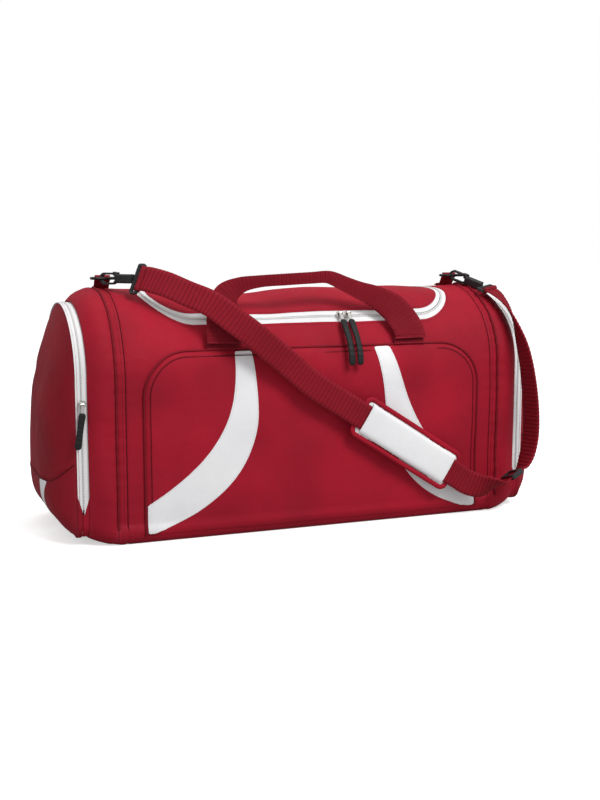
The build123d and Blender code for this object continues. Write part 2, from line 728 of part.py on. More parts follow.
left_end = strap_ends["left"]
right_end = strap_ends["right"]
left_aim = Vector(*hook_aim["left"]).normalized()
right_aim = Vector(*hook_aim["right"]).normalized()
left_start = left_end + left_aim * FOLD_LENGTH / 3
right_start = right_end + right_aim * FOLD_LENGTH / 3
turned_over = tuple(-c for c in ring_across["right"])
strap_path = [
    ((left_start.X, left_start.Y, left_start.Z), ring_across["left"], STRAP, left_aim),
    ((-216, -97, 354), (0.4, 0.34, 0.85), STRAP),
    ((-190, -112, 341), (0.3, 0.32, 0.89), STRAP),
    ((-162, -128, 328), (0.2, 0.35, 0.9), STRAP),
    ((-135, -146, 306), (0.25, 0.25, 0.9), STRAP),
    ((-105, -151, 283), (0.35, 0.1, 0.9), STRAP),
    ((-62, -152, 248), (0.5, 0, 0.85), STRAP),
    (pad_point(-70), PAD_ACROSS, STRAP, PAD_AIM),
    (pad_point(212), PAD_ACROSS, STRAP, PAD_AIM),
    ((252, -154, 48), (0.35, -0.25, 0.9), STRAP),
    ((272, -155.5, 45), (0.1, -0.65, 0.75), STRAP),
    (glide_point(-GLIDE_RUN), GLIDE_ACROSS, STRAP, GLIDE_AIM),
    (glide_point(GLIDE_RUN), GLIDE_ACROSS, STRAP, GLIDE_AIM),
    ((336, -155, 92), (0, -1, 0), STRAP),
    ((342, -153, 120), (0.07, -1, 0), STRAP),
    ((343, -151, 155), (0.07, -1, 0), STRAP),
    ((340, -149, 192), (0.05, -1, 0), STRAP),
    ((335, -146, 230), (-0.05, -1, 0.1), STRAP),
    ((330, -138, 262), (-0.2, -0.9, 0.3), STRAP),
    ((326, -113, 305), (-0.6, -0.7, 0.3), STRAP),
    ((right_start.X, right_start.Y, right_start.Z), turned_over, STRAP, -right_aim),
]
with BuildPart() as shoulder_strap:
    add(band(strap_path))
    for side_name, side in SIDES:
        add(strap_fold(side_name))
save(shoulder_strap, "shoulder_strap")

pad_centre = PAD_START + PAD_AIM * (PAD_LENGTH / 2)
pad_plane = Plane(origin=pad_centre, x_dir=PAD_AIM, z_dir=(0, -1, 0))
SLOT_HALF = WEBBING_THICK / 2 + 0.4
PAD_FOAM = 6.0
SLEEVE_LENGTH = 160.0
SLEEVE_WIDTH = 46.0
SLEEVE_THICK = 1.6
RAIL = (PAD_WIDTH - STRAP - 1.6) / 2

with BuildPart() as strap_pad:
    with BuildSketch(pad_plane.offset(-SLOT_HALF - PAD_FOAM)):
        RectangleRounded(PAD_LENGTH, PAD_WIDTH, 9)
    extrude(amount=PAD_FOAM)
    with BuildSketch(pad_plane.offset(-SLOT_HALF)):
        with Locations((0, (PAD_WIDTH - RAIL) / 2), (0, -(PAD_WIDTH - RAIL) / 2)):
            Rectangle(PAD_LENGTH - 18, RAIL)
    extrude(amount=2 * SLOT_HALF)
save(strap_pad, "strap_pad")

with BuildPart() as pad_sleeve:
    with BuildSketch(pad_plane.offset(SLOT_HALF)):
        Rectangle(SLEEVE_LENGTH, SLEEVE_WIDTH)
    extrude(amount=SLEEVE_THICK)
save(pad_sleeve, "pad_sleeve")

glide_across = Vector(*GLIDE_ACROSS)
glide_across = (glide_across - GLIDE_AIM * glide_across.dot(GLIDE_AIM)).normalized()
glide_plane = Plane(origin=GLIDE_CENTRE, x_dir=GLIDE_AIM, z_dir=GLIDE_AIM.cross(glide_across))
GLIDE_LENGTH = 20.0
GLIDE_BAR = 4.0
GLIDE_SLOT = 0.5
with BuildPart() as tri_glide:
    with BuildSketch(glide_plane.offset(-WEBBING_THICK / 2 - GLIDE_SLOT - 2)):
        RectangleRounded(GLIDE_LENGTH, STRAP + 9, 3)
    extrude(amount=WEBBING_THICK + 2 * GLIDE_SLOT + 4)
    with BuildSketch(glide_plane.offset(-WEBBING_THICK / 2 - GLIDE_SLOT)):
        Rectangle(GLIDE_LENGTH + 2, STRAP + 2)
    extrude(amount=WEBBING_THICK + 2 * GLIDE_SLOT, mode=Mode.SUBTRACT)
    with BuildSketch(glide_plane.offset(-WEBBING_THICK / 2 - GLIDE_SLOT - 3)):
        Rectangle(GLIDE_LENGTH - 2 * GLIDE_BAR, STRAP)
    extrude(amount=WEBBING_THICK + 2 * GLIDE_SLOT + 6, mode=Mode.SUBTRACT)
save(tri_glide, "tri_glide")
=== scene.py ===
import math
from functools import partial

import bpy
import numpy as np
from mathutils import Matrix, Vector, noise


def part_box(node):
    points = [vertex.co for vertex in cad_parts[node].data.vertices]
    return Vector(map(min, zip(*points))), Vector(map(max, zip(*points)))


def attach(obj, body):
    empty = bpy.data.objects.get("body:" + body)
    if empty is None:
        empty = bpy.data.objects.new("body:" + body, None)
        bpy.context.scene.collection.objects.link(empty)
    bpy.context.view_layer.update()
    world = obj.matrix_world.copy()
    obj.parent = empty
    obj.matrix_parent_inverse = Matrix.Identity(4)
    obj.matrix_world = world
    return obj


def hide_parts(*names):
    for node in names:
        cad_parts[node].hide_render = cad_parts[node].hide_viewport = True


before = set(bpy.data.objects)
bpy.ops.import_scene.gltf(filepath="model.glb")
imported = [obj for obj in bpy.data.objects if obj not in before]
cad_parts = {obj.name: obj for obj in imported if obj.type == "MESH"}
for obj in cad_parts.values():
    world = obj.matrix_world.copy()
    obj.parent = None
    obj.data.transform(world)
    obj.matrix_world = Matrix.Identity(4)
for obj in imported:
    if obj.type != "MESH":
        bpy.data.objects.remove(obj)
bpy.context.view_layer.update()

# The bag's own frame, in millimetres: +X along the bag, -Y the front, +Z up. MM turns them to metres.
MM = 0.001

# ---- sizes, the same as the CAD's ----
HALF_LENGTH = 296.0
HALF_DEPTH = 128.0
CREST = 346.0
SHOULDER = 230.0
CORNER = 22.0
LID_RADIUS = 60.0
LID_HALF = 177.0
LID_Y = -35.0
LID_GAP = 1.5
CHAIN = 3.0
ZIP_BACK = 10.0              # the lid's zip stops here; the cloth behind is the hinge
GUSSET = 39.0
GUSSET_INSET = 12.0
RIM_DROP = 6.0               # the end pocket's zip lies this much lower than the inset alone gives
GROOVE_X = 283.0             # sewn groove beside the end seam
END_CHAIN_X = 340.5
POCKET_HALF = 257.0
POCKET_TOP = 262.0
POCKET_CORNER = 60.0
HANDLE_X = 144.0
RING_X = 283.0
RING_EYE_Y = -14.0
RING_EYE_Z = 361.0
SLIDER_MEET_X = 50.0
SLIDER_HALF_GAP = 6.5
FLOOR = 0.4                  # lowest that any cloth may lie
SIDES = (("left", -1), ("right", 1))

# Distances round the outline, measured from the crest: negative on the front, positive on the back.
AT_SHOULDER = 192.0
AT_CORNER = 400.0
AT_FLAT = 434.6
AT_MIDDLE = 540.6
AT_TURN_UP = 396.0


# ---- materials ----
class Finish:
    """A material and short ways to add the nodes that the finishes share."""

    def __init__(self, name):
        self.material = bpy.data.materials.new(name)
        self.material.use_nodes = True
        self.nodes = self.material.node_tree.nodes
        self.surface = self.nodes["Principled BSDF"]
        self.coords = self.nodes.new("ShaderNodeTexCoord")

    def feed(self, socket, value):
        """Gives a socket a number, a colour or another node's output."""
        if isinstance(value, bpy.types.NodeSocket):
            self.material.node_tree.links.new(value, socket)
        else:
            socket.default_value = (*value, 1) if isinstance(value, tuple) else value

    def put(self, node, **inputs):
        """Feeds a node's inputs by name, with an underscore for each space."""
        for name, value in inputs.items():
            self.feed(node.inputs[name.replace("_", " ")], value)
        return node

    def add(self, kind, **inputs):
        return self.put(self.nodes.new("ShaderNode" + kind), **inputs)

    def bands(self, axis, pitch, wander=0.5):
        """Parallel ridges across one axis of the cloth's own coordinates; pitch is in metres."""
        scale = 2 * math.pi / (20 * pitch)
        wave = self.add("TexWave", Vector=self.coords.outputs["UV"], Scale=scale, Distortion=wander)
        self.put(wave, Detail=1.0, Detail_Scale=0.6)
        wave.bands_direction = axis
        return wave.outputs["Fac"]

    def mottle(self, scale, detail=3.0):
        """Soft random patches; scale is in patches per metre."""
        patches = self.add("TexNoise", Vector=self.coords.outputs["Object"], Scale=scale, Detail=detail)
        return patches.outputs["Fac"]

    def maths(self, operation, first, second):
        node = self.add("Math")
        node.operation = operation
        self.feed(node.inputs[0], first)
        self.feed(node.inputs[1], second)
        return node.outputs[0]

    def times(self, first, second):
        return self.maths("MULTIPLY", first, second)

    def mixed(self, factor, first, second):
        """A colour between two colours."""
        mix = self.add("Mix", Factor=factor)
        mix.data_type = "RGBA"
        for key, colour in (("A", first), ("B", second)):
            self.feed([s for s in mix.inputs if s.name == key and s.type == "RGBA"][0], colour)
        return [s for s in mix.outputs if s.type == "RGBA"][0]

    def ramp(self, value, low, high):
        """Stretches a value so that low becomes 0 and high becomes 1."""
        return self.add("MapRange", Value=value, From_Min=low, From_Max=high).outputs["Result"]

    def wear(self, low, high, scale):
        """Above zero in patches on sharp edges."""
        edges = self.ramp(self.add("NewGeometry").outputs["Pointiness"], low, high)
        return self.times(edges, self.mottle(scale))

    def patchy(self, scale, amount, low):
        """A roughness that wanders upwards from low."""
        return self.maths("ADD", self.times(self.mottle(scale), amount), low)

    def bump(self, height, distance, strength):
        return self.add("Bump", Height=height, Distance=distance, Strength=strength)


def woven(name, colour, shade, fuzz, pitch=0.0008, depth=0.00012, sheen=0.08, rough=0.66, ribs=0.0):
    """Cloth: crossed yarns, uneven dye, fuzz on worn ridges and a soft sheen; ribs is the pitch of
    the ribs across webbing, whose grooves get painted shade."""
    cloth = Finish(name)
    yarn = cloth.maths("ADD", cloth.bands("X", pitch), cloth.bands("Y", pitch))
    yarn = cloth.maths("DIVIDE", yarn, 2.0)
    dye_and_shade = cloth.mixed(cloth.ramp(cloth.mottle(9.0), 0.35, 0.68), shade, colour)
    dye_and_shade = cloth.mixed(cloth.times(cloth.wear(0.52, 0.62, 160.0), 0.5), dye_and_shade, fuzz)
    dye_and_shade = cloth.mixed(cloth.times(cloth.ramp(yarn, 0.25, 0.8), 0.06), dye_and_shade, fuzz)
    relief = yarn
    if ribs:
        rib = cloth.ramp(cloth.bands("X", ribs, 0.1), 0.05, 0.55)
        # The grooves between the ribs are painted darker, towards 0.35 of the shade colour: painted shade in
        # the recesses.
        groove = cloth.times(cloth.maths("SUBTRACT", 1.0, rib), 0.38)
        dye_and_shade = cloth.mixed(groove, dye_and_shade, tuple(0.35 * c for c in shade))
        relief = cloth.maths("ADD", relief, cloth.times(rib, 3.0))
    rumple = cloth.bump(cloth.mottle(34.0, 4.0), 0.003, 0.45)
    weave = cloth.bump(relief, depth, 0.8)
    cloth.put(weave, Normal=rumple.outputs["Normal"])
    cloth.put(
        cloth.surface, Base_Color=dye_and_shade, Roughness=cloth.patchy(45.0, 0.16, rough - 0.08),
        Sheen_Weight=sheen, Sheen_Roughness=0.4, Sheen_Tint=fuzz, Specular_IOR_Level=0.12,
        Normal=weave.outputs["Normal"],
    )
    return cloth.material


def moulded(name, colour, worn, rough=0.38, metal=0.0, grain=900.0):
    """Plastic, rubber or plated metal: fine grain, patchy gloss, edges rubbed paler."""
    skin = Finish(name)
    skin.put(
        skin.surface, Base_Color=skin.mixed(skin.wear(0.53, 0.66, 220.0), colour, worn), Metallic=metal,
        Roughness=skin.patchy(60.0, 0.25, rough - 0.12), Specular_IOR_Level=0.28,
        Normal=skin.bump(skin.mottle(grain), 0.0001, 0.35).outputs["Normal"],
    )
    return skin.material


RED = (0.365, 0.0065, 0.022)
RED_SHADE = (0.265, 0.0055, 0.017)
RED_FUZZ = (0.50, 0.05, 0.08)
red_cloth = woven("red_cloth", RED, RED_SHADE, RED_FUZZ)
# end_cloth is the red painted darker for the end pockets' doors and hems: painted shade, since the ends face
# away from the key light.
end_cloth = woven("end_cloth", (0.27, 0.0075, 0.018), (0.20, 0.005, 0.013), RED_FUZZ)
red_webbing = woven(
    "red_webbing", (0.25, 0.0065, 0.017), (0.20, 0.005, 0.013), (0.42, 0.04, 0.06),
    pitch=0.0012, depth=0.0002, rough=0.75, ribs=0.006,
)
plain_webbing = woven(
    "plain_webbing", (0.24, 0.0065, 0.017), (0.19, 0.005, 0.013), (0.42, 0.04, 0.06),
    pitch=0.0012, depth=0.0002, rough=0.75, ribs=0.0024,
)
red_binding = woven("red_binding", (0.21, 0.0055, 0.014), (0.15, 0.004, 0.010), RED_FUZZ, pitch=0.0009)
# seam_shadow is near-black cloth for painted shade along creases and seams.
seam_shadow = woven(
    "seam_shadow", (0.085, 0.002, 0.006), (0.06, 0.0015, 0.004), (0.2, 0.02, 0.03), pitch=0.0004
)
red_thread = woven("red_thread", (0.20, 0.005, 0.014), (0.15, 0.004, 0.010), RED_FUZZ, pitch=0.0004)
white_cloth = woven("white_cloth", (0.82, 0.82, 0.83), (0.76, 0.76, 0.78), (0.88, 0.88, 0.88), sheen=0.03)
zip_tape = woven(
    "zip_tape", (0.80, 0.80, 0.80), (0.70, 0.70, 0.71), (0.86, 0.86, 0.86), pitch=0.0005, sheen=0.03
)
white_thread = woven("white_thread", (0.66, 0.66, 0.66), (0.58, 0.58, 0.58), (0.8, 0.8, 0.8), pitch=0.0004)
lining = woven("lining", (0.075, 0.07, 0.075), (0.05, 0.045, 0.05), (0.16, 0.15, 0.16), rough=0.8)
zip_plastic = moulded("zip_plastic", (0.66, 0.66, 0.65), (0.52, 0.52, 0.50), rough=0.35)
black_plastic = moulded("black_plastic", (0.006, 0.0065, 0.007), (0.06, 0.06, 0.065), rough=0.40)
black_rubber = moulded(
    "black_rubber", (0.008, 0.0085, 0.009), (0.045, 0.045, 0.05), rough=0.62, grain=1600.0
)
nickel = moulded("nickel", (0.50, 0.49, 0.46), (0.80, 0.79, 0.75), rough=0.30, metal=1.0)
board_plastic = moulded("board_plastic", (0.03, 0.03, 0.035), (0.12, 0.12, 0.13), rough=0.55)


# ---- mesh helpers ----
def make_piece(name, verts, faces, materials, face_slots=None, sharp=50, weave=None, around=0.0):
    """A mesh object from points in millimetres. weave holds each point's place on the flat cloth;
    around is the cloth's length round a closed band, so that the weave runs on across the join."""
    mesh = bpy.data.meshes.new(name)
    mesh.from_pydata([tuple(c * MM for c in v) for v in verts], [], faces)
    for material in materials:
        mesh.materials.append(material)
    if face_slots is not None:
        mesh.polygons.foreach_set("material_index", face_slots)
    if weave:
        layer = mesh.uv_layers.new(name="weave")
        for polygon in mesh.polygons:
            spots = [weave[i] for i in polygon.vertices]
            far = max(spot[1] for spot in spots)
            for corner, (u, v) in zip(polygon.loop_indices, spots):
                join = around if around and far - v > around / 2 else 0.0
                layer.data[corner].uv = (u * MM, (v + join) * MM)
    mesh.polygons.foreach_set("use_smooth", [True] * len(mesh.polygons))
    mesh.set_sharp_from_angle(angle=math.radians(sharp))
    mesh.update()
    piece = bpy.data.objects.new(name, mesh)
    bpy.context.scene.collection.objects.link(piece)
    return piece


def dress(piece, body, slot, *nodes):
    """Fixes a piece to its body and hides the CAD nodes it stands for; slot is not used."""
    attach(piece, body)
    if nodes:
        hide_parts(*nodes)
    return piece


def spread(low, high, step):
    count = max(2, int(round((high - low) / step)) + 1)
    return list(np.linspace(low, high, count))


def flat_grid(us, vs):
    """Points and faces of a flat grid in a patch's own two coordinates."""
    points = [(u, v) for u in us for v in vs]
    rows = len(vs)
    faces = []
    for i in range(len(us) - 1):
        for j in range(rows - 1):
            a = i * rows + j
            faces.append((a, a + rows, a + rows + 1, a + 1))
    return points, faces


def cut_to(points, faces, field):
    """Keeps the part of a flat mesh where the field is above zero, cut cleanly along zero."""
    values = [field(u, v) for u, v in points]
    points = list(points)
    crossing = {}
    kept_faces = []
    for face in faces:
        kept = []
        for a, b in zip(face, face[1:] + face[:1]):
            if values[a] >= 0:
                kept.append(a)
            if (values[a] >= 0) != (values[b] >= 0):
                key = (min(a, b), max(a, b))
                if key not in crossing:
                    share = values[a] / (values[a] - values[b])
                    share = min(max(share, 0.02), 0.98)
                    cut = [points[a][k] + share * (points[b][k] - points[a][k]) for k in (0, 1)]
                    points.append(tuple(cut))
                    crossing[key] = len(points) - 1
                kept.append(crossing[key])
        if len(kept) >= 3:
            kept_faces.append(tuple(kept))
    used = sorted({i for face in kept_faces for i in face})
    place = {old: new for new, old in enumerate(used)}
    return [points[i] for i in used], [tuple(place[i] for i in face) for face in kept_faces]


def doubled(name, points, faces, place, outer, inner, materials, flip=False, weave=None, around=0.0):
    """Cloth with two faces and closed edges. place(u, v, lift) gives a point; outer and inner are
    the faces' lifts, each a number or a function of (u, v). materials holds the outside's and the
    inside's. weave(u, v, spot) gives a point's place on the flat cloth, (u, v) itself if left out."""
    verts = []
    for lift in (outer, inner):
        verts += [place(u, v, lift(u, v) if callable(lift) else lift) for u, v in points]
    if flip:
        faces = [tuple(reversed(face)) for face in faces]
    edges = {edge: True for face in faces for edge in zip(face, face[1:] + face[:1])}
    rim = [(a, b) for a, b in edges if (b, a) not in edges]
    count = len(points)
    under = [tuple(i + count for i in reversed(face)) for face in faces]
    sides = [(b, a, a + count, b + count) for a, b in rim]
    slots = [0] * len(faces) + [len(materials) - 1] * len(under) + [0] * len(sides)
    flat = points * 2
    if weave:
        flat = [weave(u, v, spot) for (u, v), spot in zip(flat, verts)]
    return make_piece(name, verts, faces + under + sides, materials, slots, weave=flat, around=around)


def sheet(name, us, vs, place, outer, inner, materials, region=None, flip=False):
    """A piece of cloth over a flat grid, kept where region(u, v) is above zero."""
    points, faces = flat_grid(us, vs)
    if region:
        points, faces = cut_to(points, faces, region)
    return doubled(name, points, faces, place, outer, inner, materials, flip)


def frames_along(path, ups, closed=False):
    """A side vector and an up vector, both square to the path, at each of its points."""
    result = []
    count = len(path)
    for i, point in enumerate(path):
        before = path[(i - 1) % count] if closed else path[max(i - 1, 0)]
        after = path[(i + 1) % count] if closed else path[min(i + 1, count - 1)]
        along = (after - before).normalized()
        up = ups[i] - along * ups[i].dot(along)
        up.normalize()
        result.append((along.cross(up), up))
    return result


def sweep(name, path, ups, section, materials, closed=False, size=None):
    """A closed solid: a section of (across, up) points carried along a path. size(i) scales it."""
    verts, weave = [], []
    count = len(section)
    travelled = 0.0
    for i, (across, up) in enumerate(frames_along(path, ups, closed)):
        scale_across, scale_up = size(i) if size else (1, 1)
        travelled += (path[i] - path[i - 1]).length if i else 0.0
        for a, b in section:
            verts.append(path[i] + across * a * scale_across + up * b * scale_up)
            weave.append((travelled, a * scale_across))
    faces = []
    rings = len(path)
    for i in range(rings if closed else rings - 1):
        for j in range(count):
            a, b = i * count + j, i * count + (j + 1) % count
            c, d = ((i + 1) % rings) * count + j, ((i + 1) % rings) * count + (j + 1) % count
            faces.append((a, b, d, c))
    if not closed:
        faces.append(tuple(reversed(range(count))))
        faces.append(tuple(range((rings - 1) * count, rings * count)))
    return make_piece(name, verts, faces, materials, weave=weave)


def round_section(radius, sides=10):
    turns = [2 * math.pi * k / sides for k in range(sides)]
    return [(radius * math.cos(a), radius * math.sin(a)) for a in turns]


def tape_section(width, thick, crown=0.0):
    """The section of a strip of webbing: flat faces, rounded selvedges, a slight crown."""
    half = width / 2
    edge = thick / 2
    right = [half * 0.35, half * 0.7, half - edge * 0.4]
    across = [-a for a in reversed(right)] + [0] + right
    top = [(a, edge + crown * (1 - (a / half) ** 2)) for a in across]
    bottom = [(a, -edge) for a in reversed(across)]
    return [(-half, 0)] + top + [(half, 0)] + bottom


def smooth_line(points, step):
    """A smooth line through points (Catmull-Rom), as points about a step apart; any vector length."""
    points = [np.array(p, float) for p in points]
    points = [2 * points[0] - points[1]] + points + [2 * points[-1] - points[-2]]
    line = []
    for a, b, c, d in zip(points, points[1:], points[2:], points[3:]):
        count = max(1, int(np.linalg.norm((c - b)[:3]) / step))
        for k in range(count):
            t = k / count
            bend = (2 * a - 5 * b + 4 * c - d) * t**2 + (3 * b - a - 3 * c + d) * t**3
            line.append(0.5 * (2 * b + (c - a) * t + bend))
    line.append(points[-2])
    return line


def even_points(path, pitch):
    """Points an even distance apart along a path of (point, up) pairs, as (point, up, along)."""
    result = []
    left_over = pitch / 2
    for (a, up), (b, _) in zip(path, path[1:]):
        length = (b - a).length
        if length < 1e-6:
            continue
        while left_over <= length:
            result.append((a.lerp(b, left_over / length), up, (b - a) / length))
            left_over += pitch
        left_over -= length
    return result


def beads(name, spots, material, length, width, height, sink=0.0):
    """A row of small rounded bars, such as stitches or zip teeth, each lying along its spot's line."""
    ring = [(0.5, 0.0), (0.38, 0.75), (0.0, 1.0), (-0.38, 0.75), (-0.5, 0.0)]
    verts, faces = [], []
    for point, up, along in spots:
        up = (up - along * up.dot(along)).normalized()
        across = along.cross(up)
        start = len(verts)
        for a, b in ring:
            taper = 0.75 + 0.25 * b
            for side in (-0.5, 0.5):
                spot = point + along * a * length + up * (b * height - sink)
                verts.append(spot + across * side * width * taper)
        for k in range(len(ring) - 1):
            a = start + 2 * k
            faces.append((a, a + 1, a + 3, a + 2))
        last = len(ring) - 1
        faces.append(tuple(start + 2 * k for k in range(len(ring))))
        faces.append(tuple(start + 2 * k + 1 for k in reversed(range(len(ring)))))
        faces.append((start + 1, start, start + 2 * last, start + 2 * last + 1))
    return make_piece(name, verts, faces, [material])


# ---- the bag's soft surface ----
def outline(v, inset=0.0, drop=0.0):
    """Point and outward normal of the end-on outline at distance v from the crest."""
    half = HALF_DEPTH - inset
    top = CREST - inset - drop
    base = inset * 0.8
    d = abs(v)
    if d < AT_SHOULDER:
        turn = math.pi / 2 * (1 - d / AT_SHOULDER)
        y, z = half * math.cos(turn), SHOULDER + (top - SHOULDER) * math.sin(turn)
        ny, nz = math.cos(turn) / half, math.sin(turn) / (top - SHOULDER)
    elif d < AT_CORNER:
        share = (d - AT_SHOULDER) / (AT_CORNER - AT_SHOULDER)
        y, z = half, SHOULDER + (base + CORNER - SHOULDER) * share
        ny, nz = 1.0, 0.0
    elif d < AT_FLAT:
        turn = math.pi / 2 * (d - AT_CORNER) / (AT_FLAT - AT_CORNER)
        y, z = half - CORNER + CORNER * math.cos(turn), base + CORNER - CORNER * math.sin(turn)
        ny, nz = math.cos(turn), -math.sin(turn)
    else:
        share = (d - AT_FLAT) / (AT_MIDDLE - AT_FLAT)
        y, z = (half - CORNER) * (1 - share), base
        ny, nz = 0.0, -1.0
    size = math.hypot(ny, nz)
    sign = 1 if v >= 0 else -1
    return sign * y, z, sign * ny / size, nz / size


def hump(value, low, high):
    """0 outside a range and a smooth hump of 1 in its middle."""
    share = (value - low) / (high - low)
    return math.sin(math.pi * share) if 0 < share < 1 else 0.0


def softness(x, v, y, z):
    """How far the cloth stands out from its outline: fullness, sags, folds and puckers."""
    end = max(0.0, 1 - (x / HALF_LENGTH) ** 2)
    fullness = 4.5 * end**0.7 * hump(z, 4, 285) * min(1, max(0, (abs(y) - 90) / 25))
    on_crest = max(0.0, (z - 290) / 56)
    sag = -2.5 * end * on_crest - 9.0 * on_crest * math.exp(-(((x + 72) / 60) ** 2))
    slow = 2.6 * noise.noise(Vector((x / 110, y / 80, z / 70)) + Vector((3.1, 0.7, 5.2)))
    quick = 1.3 * noise.noise(Vector((x / 42, y / 30, z / 60)) + Vector((8.3, 2.2, 1.4)))
    near_end = math.exp(-abs(HALF_LENGTH - abs(x)) / 16)
    wander = 2 * noise.noise(Vector((v / 40, x / 90, 0)))
    pucker = 0.55 * near_end * math.sin(2 * math.pi * v / 19 + wander)
    pull = 1.6 * near_end * noise.noise(Vector((x / 300, v / 55, 4.0)))
    groove = -0.9 * math.exp(-(((abs(x) - GROOVE_X) / 2.2) ** 2))
    seam = -1.0 * math.exp(-(((abs(x) - HALF_LENGTH) / 3.5) ** 2))
    calm = min(1.0, max(0.0, (z - 2) / 22))
    return calm * (fullness + sag + slow + quick + pucker + pull) + groove + seam


def corner_roll(v):
    """The cloth bulges where it turns under the bag."""
    return 4.5 * hump(abs(v), AT_CORNER - 6, AT_FLAT + 6)


def body_point(x, v, lift):
    y, z, ny, nz = outline(v)
    out = softness(x, v, y, z) + corner_roll(v) + lift
    return Vector((x, y + ny * out, max(z + nz * out, FLOOR)))


def body_normal(v):
    _, _, ny, nz = outline(v)
    return Vector((0, ny, nz))


def slot_distance(x, v):
    """Distance outside the lid zip's plan shape, seen from above; negative inside it."""
    y = outline(v)[0]
    if abs(v) > AT_SHOULDER:
        return 60.0
    return math.hypot(max(abs(x) - LID_HALF, 0), y - LID_Y) - LID_RADIUS


def lid_line(distance, back=ZIP_BACK, step=3.0):
    """Plan points (x, y) round the lid at a distance outside the zip, from back right to back left."""
    radius = LID_RADIUS + distance
    start = math.asin((back - LID_Y) / radius)
    turns = spread(-math.pi / 2, start, step / radius)
    right = [(LID_HALF + radius * math.cos(a), LID_Y + radius * math.sin(a)) for a in turns]
    left = [(-x, y) for x, y in right]
    front = [(x, LID_Y - radius) for x in spread(-LID_HALF, LID_HALF, step)[1:-1]]
    return list(reversed(left)) + front + right


def on_top(x, y, lift):
    """A point of the bag's top over a plan point, and the cloth's normal there."""
    share = min(max(y / HALF_DEPTH, -1), 1)
    v = math.copysign(AT_SHOULDER * (1 - 2 / math.pi * math.acos(abs(share))), y)
    return body_point(x, v, lift), body_normal(v)



TAPE_SHOWN = 5.5
TAPE_LAP = 2.5
wrap_edge = CHAIN + TAPE_SHOWN
tape_edge = LID_GAP + TAPE_SHOWN


def beyond_tape(way, start, edge):
    """The cloth outside the zip (way 1) or inside it (way -1): it begins at the tape's shown edge,
    and behind the zip's end at start."""

    def region(x, v):
        distance = way * slot_distance(x, v)
        return min(distance - start, max(distance - edge, outline(v)[0] - ZIP_BACK))

    return region


def tape_strip(way, start, edge):
    """The zip's tape, from start to a lap under the cloth's edge."""

    def region(x, v):
        distance = way * slot_distance(x, v)
        return min(distance - start, edge + TAPE_LAP - distance, ZIP_BACK - outline(v)[0])

    return region


WHOLE_X = sorted(
    spread(-HALF_LENGTH, HALF_LENGTH, 5.0)
    + [side * x for side in (-1, 1) for x in (293, 289, 286.5, 285, 283, 281, 279.5)]
)
body_wrap = sheet(
    "body_cloth", WHOLE_X, spread(-AT_TURN_UP, AT_TURN_UP, 5.0), body_point, 0.0, -1.8,
    [red_cloth, lining], region=beyond_tape(1, 0.0, wrap_edge),
)
dress(body_wrap, "bag", "outer_cloth", "body_wrap")


def base_point(x, v, lift):
    """The base carries on from the front edge of the wrap, under the bag, to its back edge."""
    return body_point(x, -v if v < AT_MIDDLE else 2 * AT_MIDDLE - v, lift)


base_cloth = sheet(
    "base_cloth", WHOLE_X, spread(AT_TURN_UP, 2 * AT_MIDDLE - AT_TURN_UP, 5.0), base_point, 0.25, -1.6,
    [red_cloth, lining], flip=True,
)
dress(base_cloth, "bag", "outer_cloth", "base_panel")

FINE_X = spread(-LID_HALF - LID_RADIUS - 16, LID_HALF + LID_RADIUS + 16, 3.2)
FINE_V = spread(-170.0, 60.0, 3.0)
body_tape = sheet(
    "body_zip_tape_cloth", FINE_X, FINE_V, body_point, -0.5, -1.5, [zip_tape],
    region=tape_strip(1, 0.2, wrap_edge),
)
dress(body_tape, "bag", "zip_tape", "body_zip_tape")


# ---- the lid ----
def lid_crown(x, v):
    """The lid puffs up a little away from its edge."""
    inside = min(1.0, max(0.0, -slot_distance(x, v) - LID_GAP) / 45)
    return 2.2 * inside * (2 - inside)


lid_cloth = sheet(
    "lid_cloth", FINE_X, FINE_V, body_point, lid_crown, lambda x, v: lid_crown(x, v) - 1.8,
    [red_cloth, lining], region=beyond_tape(-1, LID_GAP, tape_edge),
)
dress(lid_cloth, "lid", "outer_cloth", "lid_panel")
lid_tape = sheet(
    "lid_zip_tape_cloth", FINE_X, FINE_V, body_point, -0.4, -1.4, [zip_tape],
    region=tape_strip(-1, 0.7, tape_edge),
)
dress(lid_tape, "lid", "zip_tape", "lid_zip_tape")


def zip_teeth(name, path, length, height, node):
    spots = [(point, up, along.cross(up)) for point, up, along in even_points(path, 2.1)]
    dress(beads(name, spots, zip_plastic, length, 1.5, height), "bag", "zip_teeth", node)


def stitch_row(name, path, body, slot, thread=red_thread):
    """Lockstitches, 2.7 mm long, lying on the cloth along a path of (point, normal)."""
    dress(beads(name, even_points(path, 3.8), thread, 2.7, 0.6, 0.45, sink=0.1), body, slot)


def cord(name, path, section, material, body, slot, *nodes):
    """A round cord along a path of (point, normal)."""
    dress(sweep(name, [p for p, _ in path], [n for _, n in path], section, [material]), body, slot, *nodes)


def seam_shadow_line(name, path, body, slot):
    """A near-black cord of painted shade in the crease where topstitching pulls the cloth down."""
    cord(name, path, round_section(0.65, 6), seam_shadow, body, slot)


def piping(name, path, radius, node):
    cord(name, path, round_section(radius), red_binding, "bag", "piping", node)


def round_lid(distance, lift):
    """The path round the lid at a distance outside the zip."""
    return [on_top(x, y, lift) for x, y in lid_line(distance)]


zip_teeth("main_zip_teeth", round_lid(CHAIN / 2, -0.6), 3.4, 1.7, "main_zip_chain")
stitch_row("body_zip_stitches", round_lid(wrap_edge + TAPE_LAP, 0.0), "bag", "outer_cloth")
stitch_row("lid_zip_stitches", round_lid(-tape_edge - TAPE_LAP, 0.7), "lid", "outer_cloth")
hinge_y = LID_Y + LID_RADIUS - LID_GAP / 2
hinge_path = [on_top(x, hinge_y, -0.2) for x in spread(-LID_HALF, LID_HALF, 6)]
piping("lid_hinge_piping", hinge_path, 1.3, "lid_hinge_seam")


